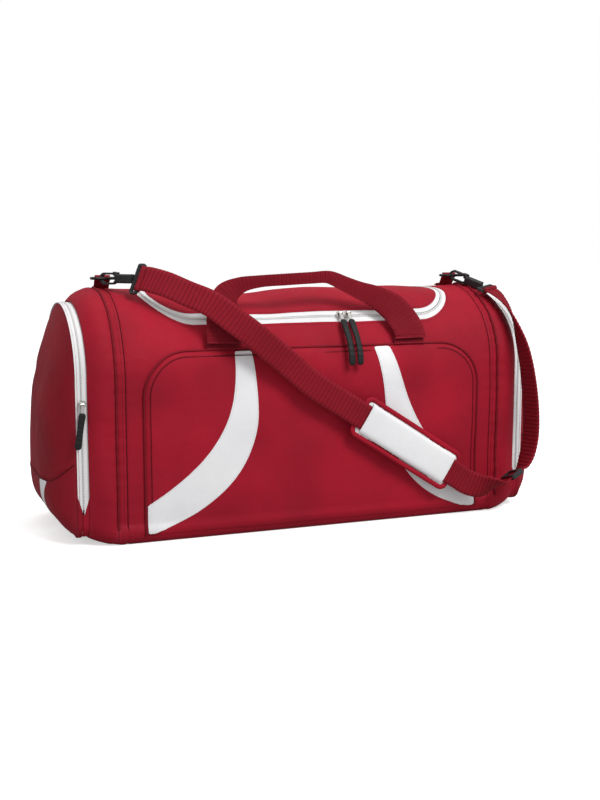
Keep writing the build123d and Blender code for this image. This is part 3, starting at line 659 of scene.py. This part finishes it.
# ---- front pocket and stripes ----
def front_v(z):
    """Distance round the outline to a height on the upright front."""
    if z >= SHOULDER:
        rise = min((z - SHOULDER) / (CREST - SHOULDER), 1)
        return -AT_SHOULDER * (1 - 2 / math.pi * math.asin(rise))
    if z >= CORNER:
        return -(AT_SHOULDER + (SHOULDER - z) / (SHOULDER - CORNER) * (AT_CORNER - AT_SHOULDER))
    turn = math.asin(min(1, (CORNER - z) / CORNER))
    return -(AT_CORNER + turn / (math.pi / 2) * (AT_FLAT - AT_CORNER))


def pocket_point(x, z, lift):
    return body_point(x, front_v(z), lift)


POCKET_LOW = 14.0


def pocket_inside(x, z):
    """Distance inside the pocket panel's edge."""
    over_x = abs(x) - (POCKET_HALF - POCKET_CORNER)
    over_z = z - (POCKET_TOP - POCKET_CORNER)
    if over_x > 0 and over_z > 0:
        side = POCKET_CORNER - math.hypot(over_x, over_z)
    else:
        side = min(POCKET_HALF - abs(x), POCKET_TOP - z)
    return min(side, z - POCKET_LOW)


def pocket_lift(x, z):
    """A rolled edge and a slightly full middle."""
    inside = max(0.0, pocket_inside(x, z))
    roll = math.sqrt(max(0.0, 1 - (1 - min(inside / 7, 1)) ** 2))
    middle = min(1.0, inside / 70)
    return 0.9 + 1.7 * roll + 1.6 * middle * (2 - middle)


pocket = sheet(
    "pocket_cloth", spread(-POCKET_HALF, POCKET_HALF, 4.5), spread(POCKET_LOW, POCKET_TOP, 4.5),
    pocket_point, pocket_lift, 0.35, [red_cloth], region=pocket_inside, flip=True,
)
dress(pocket, "bag", "pocket_cloth", "front_pocket_panel")


def pocket_line(distance, step=4.0):
    """(x, z) points round the pocket's sides and top, at a distance outside its edge."""
    half = POCKET_HALF + distance
    top = POCKET_TOP + distance
    radius = POCKET_CORNER + distance
    arc = spread(0, math.pi / 2, step / radius)
    right = [(half, z) for z in spread(POCKET_LOW, top - radius, step)[:-1]]
    right += [(half - radius + radius * math.cos(a), top - radius + radius * math.sin(a)) for a in arc]
    left = [(-x, z) for x, z in reversed(right)]
    across = [(x, top) for x in spread(half - radius, radius - half, step)[1:-1]]
    return right + across + left


def on_pocket(line, lift):
    """The path over (x, z) points at a lift above the pocket's cloth."""
    return [(pocket_point(x, z, pocket_lift(x, z) + lift), body_normal(front_v(z))) for x, z in line]


edge_path = [(pocket_point(x, z, 1.2), body_normal(front_v(z))) for x, z in pocket_line(1.6)]
piping("pocket_piping", edge_path, 1.7, "front_pocket_piping")
stitch_row("pocket_stitches", on_pocket(pocket_line(-5.5), 0.0), "bag", "pocket_cloth")
# A near-black cord of painted shade inside the pocket's stitches.
seam_shadow_line("pocket_crease_shadow", on_pocket(pocket_line(-7.0), -0.15), "bag", "pocket_cloth")


STRIPE_TURN_Z = 175.0


def stripe_low_edge(z):
    """Distance from the middle to the stripe's lower edge: nearly upright, then a quarter ellipse."""
    above = max(0.0, z - STRIPE_TURN_Z) / 83
    below = min(1.0, max(0.0, STRIPE_TURN_Z - z) / 165)
    return 97 + 6 * above**2 + 205 * (1 - math.sqrt(1 - below**2))


def stripe_high_edge(z):
    return 128 + 123 * (max(0.0, 261 - z) / 204) ** 2.85


def stripe_lean(side, z):
    """The right-hand stripe hangs a little straighter than the left one."""
    if side < 0:
        return 0.0
    return 6 - (0.0021 if z > 155 else 0.0010) * (z - 155) ** 2


for side_name, side in SIDES:
    def low_edge(z):
        return stripe_low_edge(z) + stripe_lean(side, z)

    def high_edge(z):
        return stripe_high_edge(z) + stripe_lean(side, z)

    stripe = sheet(
        side_name + "_stripe_cloth", [side * x for x in spread(78.0, 256.0, 3.0)],
        spread(POCKET_LOW, 261, 3.0), pocket_point,
        lambda x, z: pocket_lift(x, z) + 0.75, lambda x, z: pocket_lift(x, z) - 0.2, [white_cloth],
        region=lambda x, z: min(abs(x) - low_edge(z), high_edge(z) - abs(x), pocket_inside(x, z) - 1.2),
        flip=side > 0,
    )
    dress(stripe, "bag", "white_cloth", side_name + "_stripe")
    for edge_name, edge, shift in (("low", low_edge, 2.0), ("high", high_edge, -2.0)):
        line = [(side * (edge(z) + shift), z) for z in spread(16, 256, 3.0) if edge(z) + shift < 253]
        stitches = f"{side_name}_stripe_{edge_name}_stitches"
        stitch_row(stitches, on_pocket(line, 0.75), "bag", "white_cloth", white_thread)


# ---- ends: gussets, end pockets and their zips ----
def gusset_point(side, share, v, lift):
    """A point of the end gusset; share runs from 0 at the end seam to 1 at the pocket's zip."""
    x = HALF_LENGTH + GUSSET * share
    inset = GUSSET_INSET * share**1.5
    y, z, ny, nz = outline(v, inset, RIM_DROP * share**4)
    edge = (softness(side * HALF_LENGTH, v, y, z) + corner_roll(v)) * (1 - share)
    full = 5.0 * math.sin(math.pi * share) ** 0.8 * min(1, max(0, (z - 4) / 30))
    fold = 3.0 * noise.noise(Vector((x / 34, v / 75, side * 3.0)))
    fold += 1.2 * noise.noise(Vector((x / 60, v / 24, side)))
    fold *= math.sin(math.pi * share) * min(1.0, max(0.0, z / 40))
    out = edge + full + fold + lift
    return Vector((side * x, y + ny * out, max(z + nz * out, FLOOR)))


def rim(v):
    """The outline at the end pocket's zip; v may run on past the middle of the base and up the back."""
    return outline(v if v < AT_MIDDLE else v - 2 * AT_MIDDLE, GUSSET_INSET, RIM_DROP)


def rim_point(side, x, v, lift):
    """A point on the straight rim where the end pocket's zip lies."""
    y, z, ny, nz = rim(v)
    return Vector((side * x, y + ny * lift, z + nz * lift))


DOOR_X = 346.0
DOOR_CENTRE_Z = 140.0
DOOR_BULGE = 41.5


def door_point(side, r, v, lift):
    """A point of the end pocket's bulging door; r runs from 0 at its middle to 1 at its rim."""
    y, z, ny, nz = rim(v)
    rise = z - DOOR_CENTRE_Z
    power = 3.3 - 1.5 * max(-1.0, min(1.0, rise / 190))
    height = DOOR_BULGE * max(0.0, 1 - r**power) ** 0.92
    fold = 1.8 * noise.noise(Vector((y * r / 45, z * r / 60, side * 6.0)))
    fold += 0.7 * noise.noise(Vector((y * r / 18, z * r / 26, side)))
    out = fold * min(1.0, 5 * (1 - r)) + lift
    x = DOOR_X + height + out * (0.3 + 0.7 * (1 - r**4))
    return Vector((side * x, y * r, DOOR_CENTRE_Z + rise * r)) + Vector((0, ny, nz)) * out * r**6


def round_grid(us, domed=False):
    """Points and faces of a grid that goes right round the outline; domed closes its first ring."""
    vs = spread(-AT_MIDDLE, AT_MIDDLE, 7.0)[:-1]
    count = len(vs)
    points = [(u, v) for u in us for v in vs]
    faces = []
    for ring in range(0, len(points) - count, count):
        for j in range(count):
            after = (j + 1) % count
            faces.append((ring + j, ring + count + j, ring + count + after, ring + after))
    if domed:
        faces += [(len(points), j, (j + 1) % count) for j in range(count)]
        points.append((0.0, 0.0))
    return points, faces


def door_place(side, y, z, lift):
    """The door's surface at a distance y from the bag's middle and a height z."""
    rise = z - DOOR_CENTRE_Z

    def angle_off(v):
        off = math.atan2(rim(v)[0], rim(v)[1] - DOOR_CENTRE_Z) - math.atan2(y, rise)
        return abs(math.remainder(off, 2 * math.pi))

    near = min(spread(-AT_MIDDLE, AT_MIDDLE, 8.0), key=angle_off)
    v = min(spread(near - 8, near + 8, 0.25), key=angle_off)
    r = math.hypot(y, rise) / math.hypot(rim(v)[0], rim(v)[1] - DOOR_CENTRE_Z)
    return door_point(side, min(r, 0.985), v, lift)


def door_seam_height(y):
    """The door's low seam, level in the middle and turned up to the zip at both sides."""
    return 87 + 33 * max(0.0, (abs(y) - 70) / 46) ** 2


def door_stripe(y, z):
    """Above zero inside the white stripe that curves down and back from the low seam."""
    front_edge = 37 * ((90 - min(z, 90)) / 49) ** 1.3 - 70
    return min(y - front_edge, front_edge + 24 - y, door_seam_height(y) - 1.2 - z, z - 16)


END_ZIP_VS = 378.0
END_TAPE_END = 388.0
SEAM_VS = spread(-AT_TURN_UP - 2, AT_TURN_UP + 2, 4.0)


def tape_taper(x, v):
    """The zip's tapes run to a point low down on the end."""
    return END_TAPE_END - abs(v) - 3.5 * abs(x - END_CHAIN_X)


def hem_taper(x, v):
    """The cloth below that point; v runs on under the bag and up its back."""
    return -tape_taper(x, min(v, 2 * AT_MIDDLE - v)) - 0.5


def gusset_hem(x, v):
    """The gusset's share of that cloth; under the bag it stops short, where the open door swings in."""
    return min(hem_taper(x, v), max(rim_point(1, x, v, 0.0).z - 13, 334 - x))


TAPE_VS = spread(-END_TAPE_END, END_TAPE_END, 5.0)
HEM_VS = spread(END_TAPE_END - 34, 2 * AT_MIDDLE - END_TAPE_END + 34, 4.0)


for side_name, side in SIDES:
    door_body = side_name + "_door"
    gusset = doubled(
        side_name + "_gusset_cloth", *round_grid(spread(0.02, 0.95, 0.07)), partial(gusset_point, side),
        0.0, -1.8, [red_cloth, lining], flip=side < 0,
        weave=lambda share, v, spot: (share * GUSSET, v), around=2 * AT_MIDDLE,
    )
    dress(gusset, "bag", "end_cloth", side_name + "_end_gusset")

    strips = (
        ("_gusset_zip_tape", "bag", (331, 340, 1.5), -0.4, -1.4, zip_tape, tape_taper, "_end_body_tape"),
        ("_door_zip_tape", door_body, (342, 348.5, 1.3), -0.3, -1.3, zip_tape, tape_taper, "_end_door_tape"),
        ("_gusset_hem", "bag", (331, 342, 1.5), 0.3, -1.4, red_cloth, gusset_hem, None),
        # The door's hem takes end_cloth: red with painted shade.
        ("_door_hem", door_body, (342.6, 348.5, 1.4), 0.3, -1.3, end_cloth, hem_taper, None),
    )
    for name, body, xs, outer, inner, material, region, node in strips:
        strip = sheet(
            side_name + name, spread(*xs), TAPE_VS if node else HEM_VS, partial(rim_point, side),
            outer, inner, [material], region=region, flip=side > 0,
        )
        dress(strip, body, "zip_tape" if node else "end_cloth", *([side_name + node] if node else []))

    # The door takes end_cloth: red with painted shade.
    door = doubled(
        side_name + "_door_cloth", *round_grid(spread(0.06, 1.0, 0.045), True), partial(door_point, side),
        0.0, -1.6, [end_cloth, lining], flip=side > 0, weave=lambda r, v, spot: (spot.y, spot.z),
    )
    dress(door, door_body, "end_cloth", side_name + "_end_door")

    out = Vector((side, 0, 0))
    seam_path = [(door_place(side, y, door_seam_height(y), 0.25), out) for y in spread(-112, 112, 3.5)]
    # A near-black cord of painted shade along the door's low seam.
    seam_shadow_line(side_name + "_door_seam", seam_path, door_body, "end_cloth")
    seam_stitches = [(spot + Vector((0, 0, 3)), up) for spot, up in seam_path[2:-2]]
    stitch_row(side_name + "_door_seam_stitches", seam_stitches, door_body, "end_cloth")
    end_stripe = sheet(
        side_name + "_door_stripe", spread(-74, 26, 2.5), spread(14, 92, 2.5), partial(door_place, side),
        0.9, -0.4, [white_cloth], region=door_stripe, flip=side > 0,
    )
    dress(end_stripe, door_body, "white_cloth")

    def hoop(x, lift):
        """The path over the body at a distance from its middle."""
        return [(body_point(side * x, v, lift), body_normal(v)) for v in SEAM_VS]

    def rim_path(x, vs, lift):
        return [(rim_point(side, x, v, lift), body_normal(v)) for v in vs]

    end_path = rim_path(END_CHAIN_X, spread(-END_ZIP_VS, END_ZIP_VS, 3.0), -0.7)
    zip_teeth(side_name + "_end_zip_teeth", end_path, 3.2, 1.6, side_name + "_end_zip_chain")
    piping(side_name + "_end_piping", hoop(HALF_LENGTH, 1.5), 1.8, side_name + "_seam_piping")
    stitch_row(side_name + "_end_stitches", hoop(287.5, 0.0), "bag", "outer_cloth")
    # A near-black cord of painted shade in the sewn groove beside the end seam.
    seam_shadow_line(side_name + "_end_crease_shadow", hoop(GROOVE_X, 0.35), "bag", "outer_cloth")
    stitch_row(side_name + "_end_zip_stitches", rim_path(330, SEAM_VS, 0.1), "bag", "end_cloth")
    hinge_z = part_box(side_name + "_end_hinge_seam")[0].z / MM + 0.9
    hinge_path = [(Vector((side * 342.3, y, hinge_z)), Vector((0, 0, 1))) for y in spread(-80, 80, 8)]
    piping(side_name + "_door_hinge_piping", hinge_path, 1.0, side_name + "_end_hinge_seam")


# ---- webbing ----
RIB_PITCH = 6.0


def webbing(name, stations, body, *nodes, crown=0.2, ribs=0.22, material=plain_webbing):
    """Ribbed webbing through (centre, across, width, thickness) stations."""
    rows = [tuple(c) + tuple(a) + (w, t) for c, a, w, t in stations]
    line = smooth_line(rows, 1.5)
    path = [Vector(row[:3]) for row in line]
    ups, travelled = [], [0.0]
    for i, row in enumerate(line):
        along = (path[min(i + 1, len(path) - 1)] - path[max(i - 1, 0)]).normalized()
        ups.append(Vector(row[3:6]).cross(along))
        if i:
            travelled.append(travelled[-1] + (path[i] - path[i - 1]).length)
    unit = tape_section(50.0, 2.5, crown)

    def size(i):
        rib = 1 + ribs * math.sin(2 * math.pi * travelled[i] / RIB_PITCH)
        return line[i][6] / 50.0, line[i][7] / 2.5 * rib

    strip = sweep(name, path, ups, unit, [material], size=size)
    strip.data.set_sharp_from_angle(angle=math.radians(75))
    return dress(strip, body, "webbing", *nodes)


front_stations = [
    ((-144, -130.4, 273), (1, 0, 0), 50, 2.5),
    ((-143.5, -127, 291), (1, 0, 0), 50, 2.5),
    ((-141, -119, 316), (1, 0, -0.12), 48, 2.5),
    ((-134, -110, 338), (0.9, 0, -0.45), 38, 3.0),
    ((-112, -103, 351.5), (0.4, 0, -0.92), 24, 3.8),
    ((-82, -101, 357), (0.05, 0, -1), 17.5, 4.2),
    ((-40, -101, 359.5), (0, 0, -1), 17, 4.2),
    ((0, -101, 361.5), (0, 0, -1), 17, 4.2),
    ((20, -101, 362.5), (-0.05, 0, -1), 18, 4.2),
    ((32, -101, 360), (-0.3, 0, -1), 20, 4.0),
    ((50, -101, 352.5), (-0.45, 0, -0.95), 22, 3.6),
    ((74, -102, 342.5), (-0.4, 0, -0.95), 26, 3.2),
    ((100, -104.5, 332), (-0.5, 0, -0.9), 34, 2.8),
    ((124, -112, 316.5), (-0.9, 0, -0.5), 44, 2.5),
    ((139, -122, 295), (-1, 0, -0.15), 49, 2.5),
    ((143.5, -128, 281), (-1, 0, 0), 50, 2.5),
    ((144, -130.4, 273), (-1, 0, 0), 50, 2.5),
]
webbing("front_handle_webbing", front_stations, "front_handle", "front_handle")

REAR_Y = 133.4
rear_half = [
    ((-144, REAR_Y, 272), (1, 0, 0), 50, 2.5),
    ((-143.5, REAR_Y + 1.5, 240), (1, 0, 0.03), 50, 2.5),
    ((-140, REAR_Y + 2.5, 208), (1, 0, 0.2), 46, 2.6),
    ((-126, REAR_Y + 3, 185), (0.8, 0, 0.6), 36, 3.2),
    ((-98, REAR_Y + 3, 172), (0.3, 0, 1), 27, 4.0),
    ((-50, REAR_Y + 3, 165), (0.1, 0, 1), 22.5, 4.6),
]
other_half = [((-x, y, z), (-a, b, c), w, t) for (x, y, z), (a, b, c), w, t in reversed(rear_half)]
rear_stations = rear_half + [((0, REAR_Y + 3, 163), (0, 0, 1), 22, 4.8)] + other_half
webbing("rear_handle_webbing", rear_stations, "rear_handle", "rear_handle")

for place_name, y_side in (("front", -1), ("rear", 1)):
    for side_name, side in SIDES:
        stations = []
        for z in (264.0, 266, 268, 270, 272, 274.5):
            spot = body_point(side * HANDLE_X, -y_side * front_v(z), 3.0 if z < 270 else 2.4)
            stations.append(((spot.x, min(spot.y * y_side, 131.5) * y_side, z), (side, 0, 0), 50, 2.4))
        anchor = webbing(f"{place_name}_{side_name}_anchor", stations, "bag")
        if side < 0:
            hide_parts(place_name + "_handle_anchors")


# ---- shoulder strap ----
STRAP = 38.0
PAD_START = Vector((51.5, -152, 168))
PAD_AIM = Vector((0.846, 0, -0.534)).normalized()
PAD_ACROSS = Vector((0.534, 0, 0.846))
GLIDE_CENTRE = Vector((309, -156, 60))
GLIDE_AIM = Vector((32, 0, 20)).normalized()
GLIDE_ACROSS = (0, -0.93, 0.37)
RING_REACH = 64.4            # from the D-ring's eye to the bar of the strap's ring
LEFT_AIM = Vector((0.60, -0.80, 0.0))
LEFT_ACROSS = Vector((0.4, 0.3, 0.866))
LEFT_END = Vector((-RING_X, RING_EYE_Y, RING_EYE_Z)) + LEFT_AIM * RING_REACH
RIGHT_AIM = Vector((0.53, -0.78, -0.33))
RIGHT_ACROSS = Vector((0.85, 0.52, 0.09))
RIGHT_END = Vector((RING_X, RING_EYE_Y, RING_EYE_Z)) + RIGHT_AIM * RING_REACH

strap_stations = [
    (LEFT_END, LEFT_ACROSS),
    (LEFT_END + LEFT_AIM * 12, (0.4, 0.32, 0.86)),
    ((-216, -97, 354), (0.4, 0.34, 0.85)),
    ((-190, -112, 341.5), (0.3, 0.34, 0.89)),
    ((-162, -129, 328), (0.2, 0.32, 0.92)),
    ((-135, -146, 306), (0.28, 0.18, 0.93)),
    ((-105, -151.5, 283), (0.38, 0.08, 0.92)),
    ((-62, -152, 248), (0.48, 0.0, 0.87)),
]
along_pad = (-80, -20, 60, 140, 190, 212)
strap_stations += [(PAD_START + PAD_AIM * distance, PAD_ACROSS) for distance in along_pad]
strap_stations += [((252, -154, 47), (0.35, -0.25, 0.9)), ((272, -155.5, 45.5), (0.1, -0.65, 0.75))]
strap_stations += [(GLIDE_CENTRE + GLIDE_AIM * distance, GLIDE_ACROSS) for distance in (-24, -10, 8, 20)]
strap_stations += [
    ((336, -155, 92), (0, -1, 0)),
    ((342, -153, 120), (0.07, -1, 0)),
    ((343, -151, 155), (0.07, -1, 0)),
    ((340, -149, 192), (0.05, -1, 0)),
    ((335, -146, 230), (-0.05, -1, 0.1)),
    ((330, -138, 262), (-0.2, -0.9, 0.3)),
    ((326, -113, 305), (-0.6, -0.7, 0.3)),
    ((322, -82, 330), (-0.8, -0.56, 0.05)),
    (RIGHT_END, -RIGHT_ACROSS),
]
strap_rows = [(centre, across, STRAP, 2.5) for centre, across in strap_stations]
webbing("shoulder_strap_webbing", strap_rows, "strap", "shoulder_strap", material=red_webbing)


def strap_fold(name, centre, aim, across):
    """The strap's end folded round the bar of its ring."""
    aim = aim.normalized()
    across = (across - aim * across.dot(aim)).normalized()
    out = aim.cross(across)
    turns = spread(-math.pi / 2, math.pi * 1.5, 0.3)[:-1]
    loop = [centre - aim * 3.24 * math.cos(a) + out * 3.6 * math.sin(a) for a in turns]
    webbing(name, [(spot, across, STRAP, 2.0) for spot in loop], "strap", crown=0.0, ribs=0.0)


strap_fold("left_strap_fold", LEFT_END, LEFT_AIM, LEFT_ACROSS)
strap_fold("right_strap_fold", RIGHT_END, RIGHT_AIM, RIGHT_ACROSS)


# ---- shoulder pad ----
PAD_LENGTH = 187.0
PAD_WIDTH = 64.0
SLOT = 1.65
PAD_FOAM = 6.0
PAD_MIDDLE = PAD_START + PAD_AIM * (PAD_LENGTH / 2)
PAD_OUT = Vector((0, -1, 0))
PAD_SIDE = PAD_OUT.cross(PAD_AIM)


def pad_spot(a, b, out):
    """Along the pad, across it, and out from the strap's plane towards the viewer."""
    return PAD_MIDDLE + PAD_AIM * a + PAD_SIDE * b + PAD_OUT * out


def swell(piece, pressure, cap, limit=None):
    """Blows cloth up like foam inside a sewn cover, then fixes its shape. limit(point) may pull
    points back."""
    before = [v.co.copy() for v in piece.data.vertices]
    cloth = piece.modifiers.new("cloth", "CLOTH")
    cloth.settings.use_pressure = True
    cloth.settings.uniform_pressure_force = pressure
    cloth.settings.effector_weights.gravity = 0
    cloth.settings.quality = 5
    scene = bpy.context.scene
    for step in range(1, 21):
        scene.frame_set(step)
    depsgraph = bpy.context.evaluated_depsgraph_get()
    after = [v.co.copy() for v in piece.evaluated_get(depsgraph).data.vertices]
    piece.modifiers.remove(cloth)
    scene.frame_set(1)
    for vertex, a, b in zip(piece.data.vertices, before, after):
        move = b - a
        if move.length > cap * MM:
            move = move.normalized() * cap * MM
        spot = a + move
        vertex.co = limit(spot) if limit else spot
    piece.data.update()


def voxel_remesh(piece, size):
    remesh = piece.modifiers.new("remesh", "REMESH")
    remesh.mode = "VOXEL"
    remesh.voxel_size = size * MM
    depsgraph = bpy.context.evaluated_depsgraph_get()
    mesh = bpy.data.meshes.new_from_object(piece.evaluated_get(depsgraph))
    piece.modifiers.remove(remesh)
    piece.data = mesh


def rounded_corners(length, width, corner, step):
    """Points round a rectangle with round corners, a step apart in angle."""
    edge = []
    for quarter, (sign_a, sign_b) in enumerate(((1, 1), (-1, 1), (-1, -1), (1, -1))):
        for turn in spread(0, math.pi / 2, step):
            angle = turn + quarter * math.pi / 2
            a = sign_a * (length / 2 - corner) + corner * math.cos(angle)
            edge.append((a, sign_b * (width / 2 - corner) + corner * math.sin(angle)))
    return edge


def rounded_slab(name, length, width, thick, corner, top_out, materials):
    """The pad before it is filled: a flat slab with round corners."""
    edge = rounded_corners(length, width, corner, 0.26)
    verts = [pad_spot(a, b, out) for out in (top_out, top_out - thick) for a, b in edge]
    count = len(edge)
    faces = [tuple(range(count)), tuple(reversed(range(count, 2 * count)))]
    faces += [(j, j + count, (j + 1) % count + count, (j + 1) % count) for j in range(count)]
    return make_piece(name, verts, faces, materials)


pad = rounded_slab(
    "strap_pad_cushion", PAD_LENGTH - 5, PAD_WIDTH - 5, PAD_FOAM - 0.5, 8, -SLOT - 0.4, [red_binding]
)
voxel_remesh(pad, 4.0)
PAD_BACK_Y = -143.4
pad_face_y = (PAD_START.y + SLOT + 0.15) * MM


def behind_strap(spot):
    """The pad's face stays behind the webbing, and its back stays off the bag."""
    spot.y = min(max(spot.y, pad_face_y), PAD_BACK_Y * MM)
    return spot


swell(pad, 4.0, 5.0, behind_strap)
pad.data.materials.clear()
pad.data.materials.append(red_binding)
pad.data.materials.append(white_cloth)
for polygon in pad.data.polygons:
    polygon.use_smooth = True
    polygon.material_index = 1 if polygon.normal.y < -0.6 else 0
subdivide = pad.modifiers.new("subdivide", "SUBSURF")
subdivide.levels = 1
subdivide.render_levels = 1
dress(pad, "pad", "pad_cloth", "strap_pad")


binding_edge = rounded_corners(PAD_LENGTH - 7, PAD_WIDTH - 7, 9, 4 / 9)
binding_path = [pad_spot(a, b, -SLOT - 1.2) for a, b in binding_edge]
pad_binding = sweep(
    "strap_pad_binding", binding_path, [PAD_OUT] * len(binding_path),
    [(a * 1.6, b * 1.05) for a, b in round_section(2.3, 12)], [red_cloth], closed=True,
)
dress(pad_binding, "pad", "pad_cloth")

SLEEVE = 80.0
SLEEVE_HALF = 23.5


def sleeve_point(a, b, lift):
    """The sleeve arches over the webbing and is sewn down along both sides."""
    share = abs(b) / SLEEVE_HALF
    return pad_spot(a, b, SLOT + 0.4 + 0.8 * (1 - share**2) - 3.4 * share**10 + lift)


sleeve = sheet(
    "pad_sleeve_cloth", spread(-SLEEVE, SLEEVE, 4), spread(-SLEEVE_HALF, SLEEVE_HALF, 1.6),
    sleeve_point, 0.8, 0.0, [white_cloth],
)
dress(sleeve, "pad", "white_cloth", "pad_sleeve")
for end_name, a in (("upper", -SLEEVE + 2), ("lower", SLEEVE - 2)):
    path = [(sleeve_point(a, b, 0.8), PAD_OUT) for b in spread(-20, 20, 2)]
    stitch_row(f"pad_sleeve_{end_name}_stitches", path, "pad", "white_cloth", white_thread)


# ---- webbing tabs of the D-rings ----
for side_name, side in SIDES:
    low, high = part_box(side_name + "_d_ring")
    bar_y = high.y / MM - 2.0
    bar_z = (low.z + high.z) / 2 / MM
    x = side * RING_X
    tail = [(bar_y + 27, 3.6), (bar_y + 18, 3.4), (bar_y + 10, 3.2)]
    under = [on_top(x, y, lift - 1.6)[0] for y, lift in tail]
    over = [on_top(x, y, lift + 1.4)[0] for y, lift in reversed(tail)]
    turns = spread(0.0, math.pi, 0.35)
    loop = [Vector((x, bar_y - 3.7 * math.sin(a), bar_z - 3.7 * math.cos(a))) for a in turns]
    stations = [(spot, (1, 0, 0), 22, 1.5) for spot in under + loop + over]
    webbing(side_name + "_ring_tab_webbing", stations, "bag", side_name + "_ring_tab", crown=0.0)


# ---- rubber pulls ----
def rubber_pull(pull, points, x, out, lean=0.0):
    """A moulded grip with a rounded end, a waist and ridges. lean swings its free end sideways."""
    last = len(points) - 1
    line = smooth_line([(x + lean * i / last, y, z) for i, (y, z) in enumerate(points)], 1.2)
    path = [Vector(p) for p in line]
    count = len(path)
    section = [
        (math.copysign(5 * abs(a) ** 0.55, a), math.copysign(2 * abs(b) ** 0.7, b))
        for a, b in round_section(1.0, 16)
    ]

    def rounded(share):
        return math.sqrt(max(0.02, 1 - (1 - min(1, share * count / 4)) ** 2))

    def size(i):
        share = i / (count - 1)
        end, tip = rounded(share), rounded(1 - share)
        ridge = 1 + 0.16 * math.sin(share * 2 * math.pi * 9) if 0.3 < share < 0.85 else 1.0
        waist = 0.86 + 0.14 * abs(2 * share - 1) ** 1.5
        return end * tip * waist, end * tip * ridge

    grip = sweep(pull + "_grip", path, [out] * count, section, [black_rubber], size=size)
    dress(grip, pull, "black_rubber", pull)


LEAN = 8.0
MAIN_PULL = (
    (-110.3, 301.6), (-117, 295), (-124, 287), (-131, 278),
    (-138, 267), (-143, 255), (-145, 245), (-145, 237),
)
END_PULL = ((122.3, 186), (122.7, 170), (122.7, 152), (122.3, 136))
for side_name, side in SIDES:
    slider_x = SLIDER_MEET_X + side * SLIDER_HALF_GAP
    rubber_pull(side_name + "_main_pull", MAIN_PULL, slider_x, Vector((0, -0.8, 0.6)))
    end_points = [(side * y, z) for y, z in END_PULL]
    rubber_pull(
        side_name + "_end_pull", end_points, side * END_CHAIN_X, Vector((0, side, 0)), lean=side * LEAN
    )


# ---- CAD pieces that stay: materials and softened edges ----
def finish_node(node, material, bevel=0.0):
    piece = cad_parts[node]
    piece.data.materials.clear()
    piece.data.materials.append(material)
    for polygon in piece.data.polygons:
        polygon.use_smooth = True
    piece.data.set_sharp_from_angle(angle=math.radians(35))
    if bevel:
        round_off = piece.modifiers.new("round_off", "BEVEL")
        round_off.width = bevel * MM
        round_off.segments = 2
        round_off.limit_method = "ANGLE"
        round_off.angle_limit = math.radians(40)


finish_node("base_board", board_plastic)
finish_node("tri_glide", black_plastic, 0.5)
for side_name, side in SIDES:
    finish_node(side_name + "_end_wall", lining)
    finish_node(side_name + "_d_ring", black_plastic)
    finish_node(side_name + "_snap_hook", black_plastic, 0.7)
    finish_node(side_name + "_hook_gate", black_plastic, 0.3)
    finish_node(side_name + "_strap_ring", black_plastic, 0.5)
    for place_name in ("main", "end"):
        finish_node(f"{side_name}_{place_name}_slider", nickel, 0.4)
        finish_node(f"{side_name}_{place_name}_pull_tab", nickel, 0.25)


# ---- studio ----
def studio():
    bpy.ops.mesh.primitive_plane_add(size=30.0, location=(0, 0, 0))
    floor = bpy.context.object
    floor.name = "floor"
    paper = Finish("floor_paper")
    tone = paper.mixed(paper.mottle(0.4), (0.93, 0.93, 0.93), (0.96, 0.96, 0.96))
    seen = paper.add("LightPath").outputs["Is Camera Ray"]
    paper.put(
        paper.surface, Base_Color=paper.mixed(seen, (0.42, 0.42, 0.42), tone), Roughness=0.9,
        Emission_Color=(1, 1, 1), Emission_Strength=paper.times(seen, 0.52),
    )
    floor.data.materials.append(paper.material)

    world = bpy.data.worlds.new("studio")
    bpy.context.scene.world = world
    world.use_nodes = True
    background = world.node_tree.nodes["Background"]
    background.inputs["Color"].default_value = (1, 1, 1, 1)
    seen = world.node_tree.nodes.new("ShaderNodeLightPath").outputs["Is Camera Ray"]
    brightness = world.node_tree.nodes.new("ShaderNodeMapRange")
    brightness.inputs["To Min"].default_value = 0.57
    brightness.inputs["To Max"].default_value = 1.0
    world.node_tree.links.new(seen, brightness.inputs["Value"])
    world.node_tree.links.new(brightness.outputs["Result"], background.inputs["Strength"])

    def aimed(data, location, direction):
        """Puts a lamp or a camera at a place, looking along a direction."""
        thing = bpy.data.objects.new(data.name, data)
        thing.location = location
        thing.rotation_mode = "QUATERNION"
        thing.rotation_quaternion = direction.to_track_quat("-Z", "Y")
        bpy.context.scene.collection.objects.link(thing)
        return thing

    softboxes = (
        ("key", (0.7, -1.9, 2.3), (0, 0, 0.2), (1.2, 1.0), 58),
        ("fill", (-2.2, -1.8, 1.2), (0, 0, 0.15), (1.6, 1.6), 5),
        ("top", (0.0, 0.2, 2.6), (0, 0, 0.2), (1.8, 1.2), 14),
    )
    for name, location, target, size, power in softboxes:
        lamp = bpy.data.lights.new(name, "AREA")
        lamp.shape = "RECTANGLE"
        lamp.size, lamp.size_y = size
        lamp.energy = power
        aimed(lamp, location, Vector(target) - Vector(location))

    camera = bpy.data.cameras.new("camera")
    camera.lens = 49.8
    camera.sensor_width = 36.0
    camera.shift_x = 0.016
    camera.shift_y = 0.001
    azimuth, dip = math.radians(21.4), math.radians(7.7)
    level = math.cos(dip)
    aim = Vector((math.sin(azimuth) * level, math.cos(azimuth) * level, -math.sin(dip)))
    eye = aimed(camera, (-0.619, -1.5796, 0.3994), aim)
    bpy.context.scene.camera = eye
    bpy.context.scene.view_settings.view_transform = "Standard"


studio()
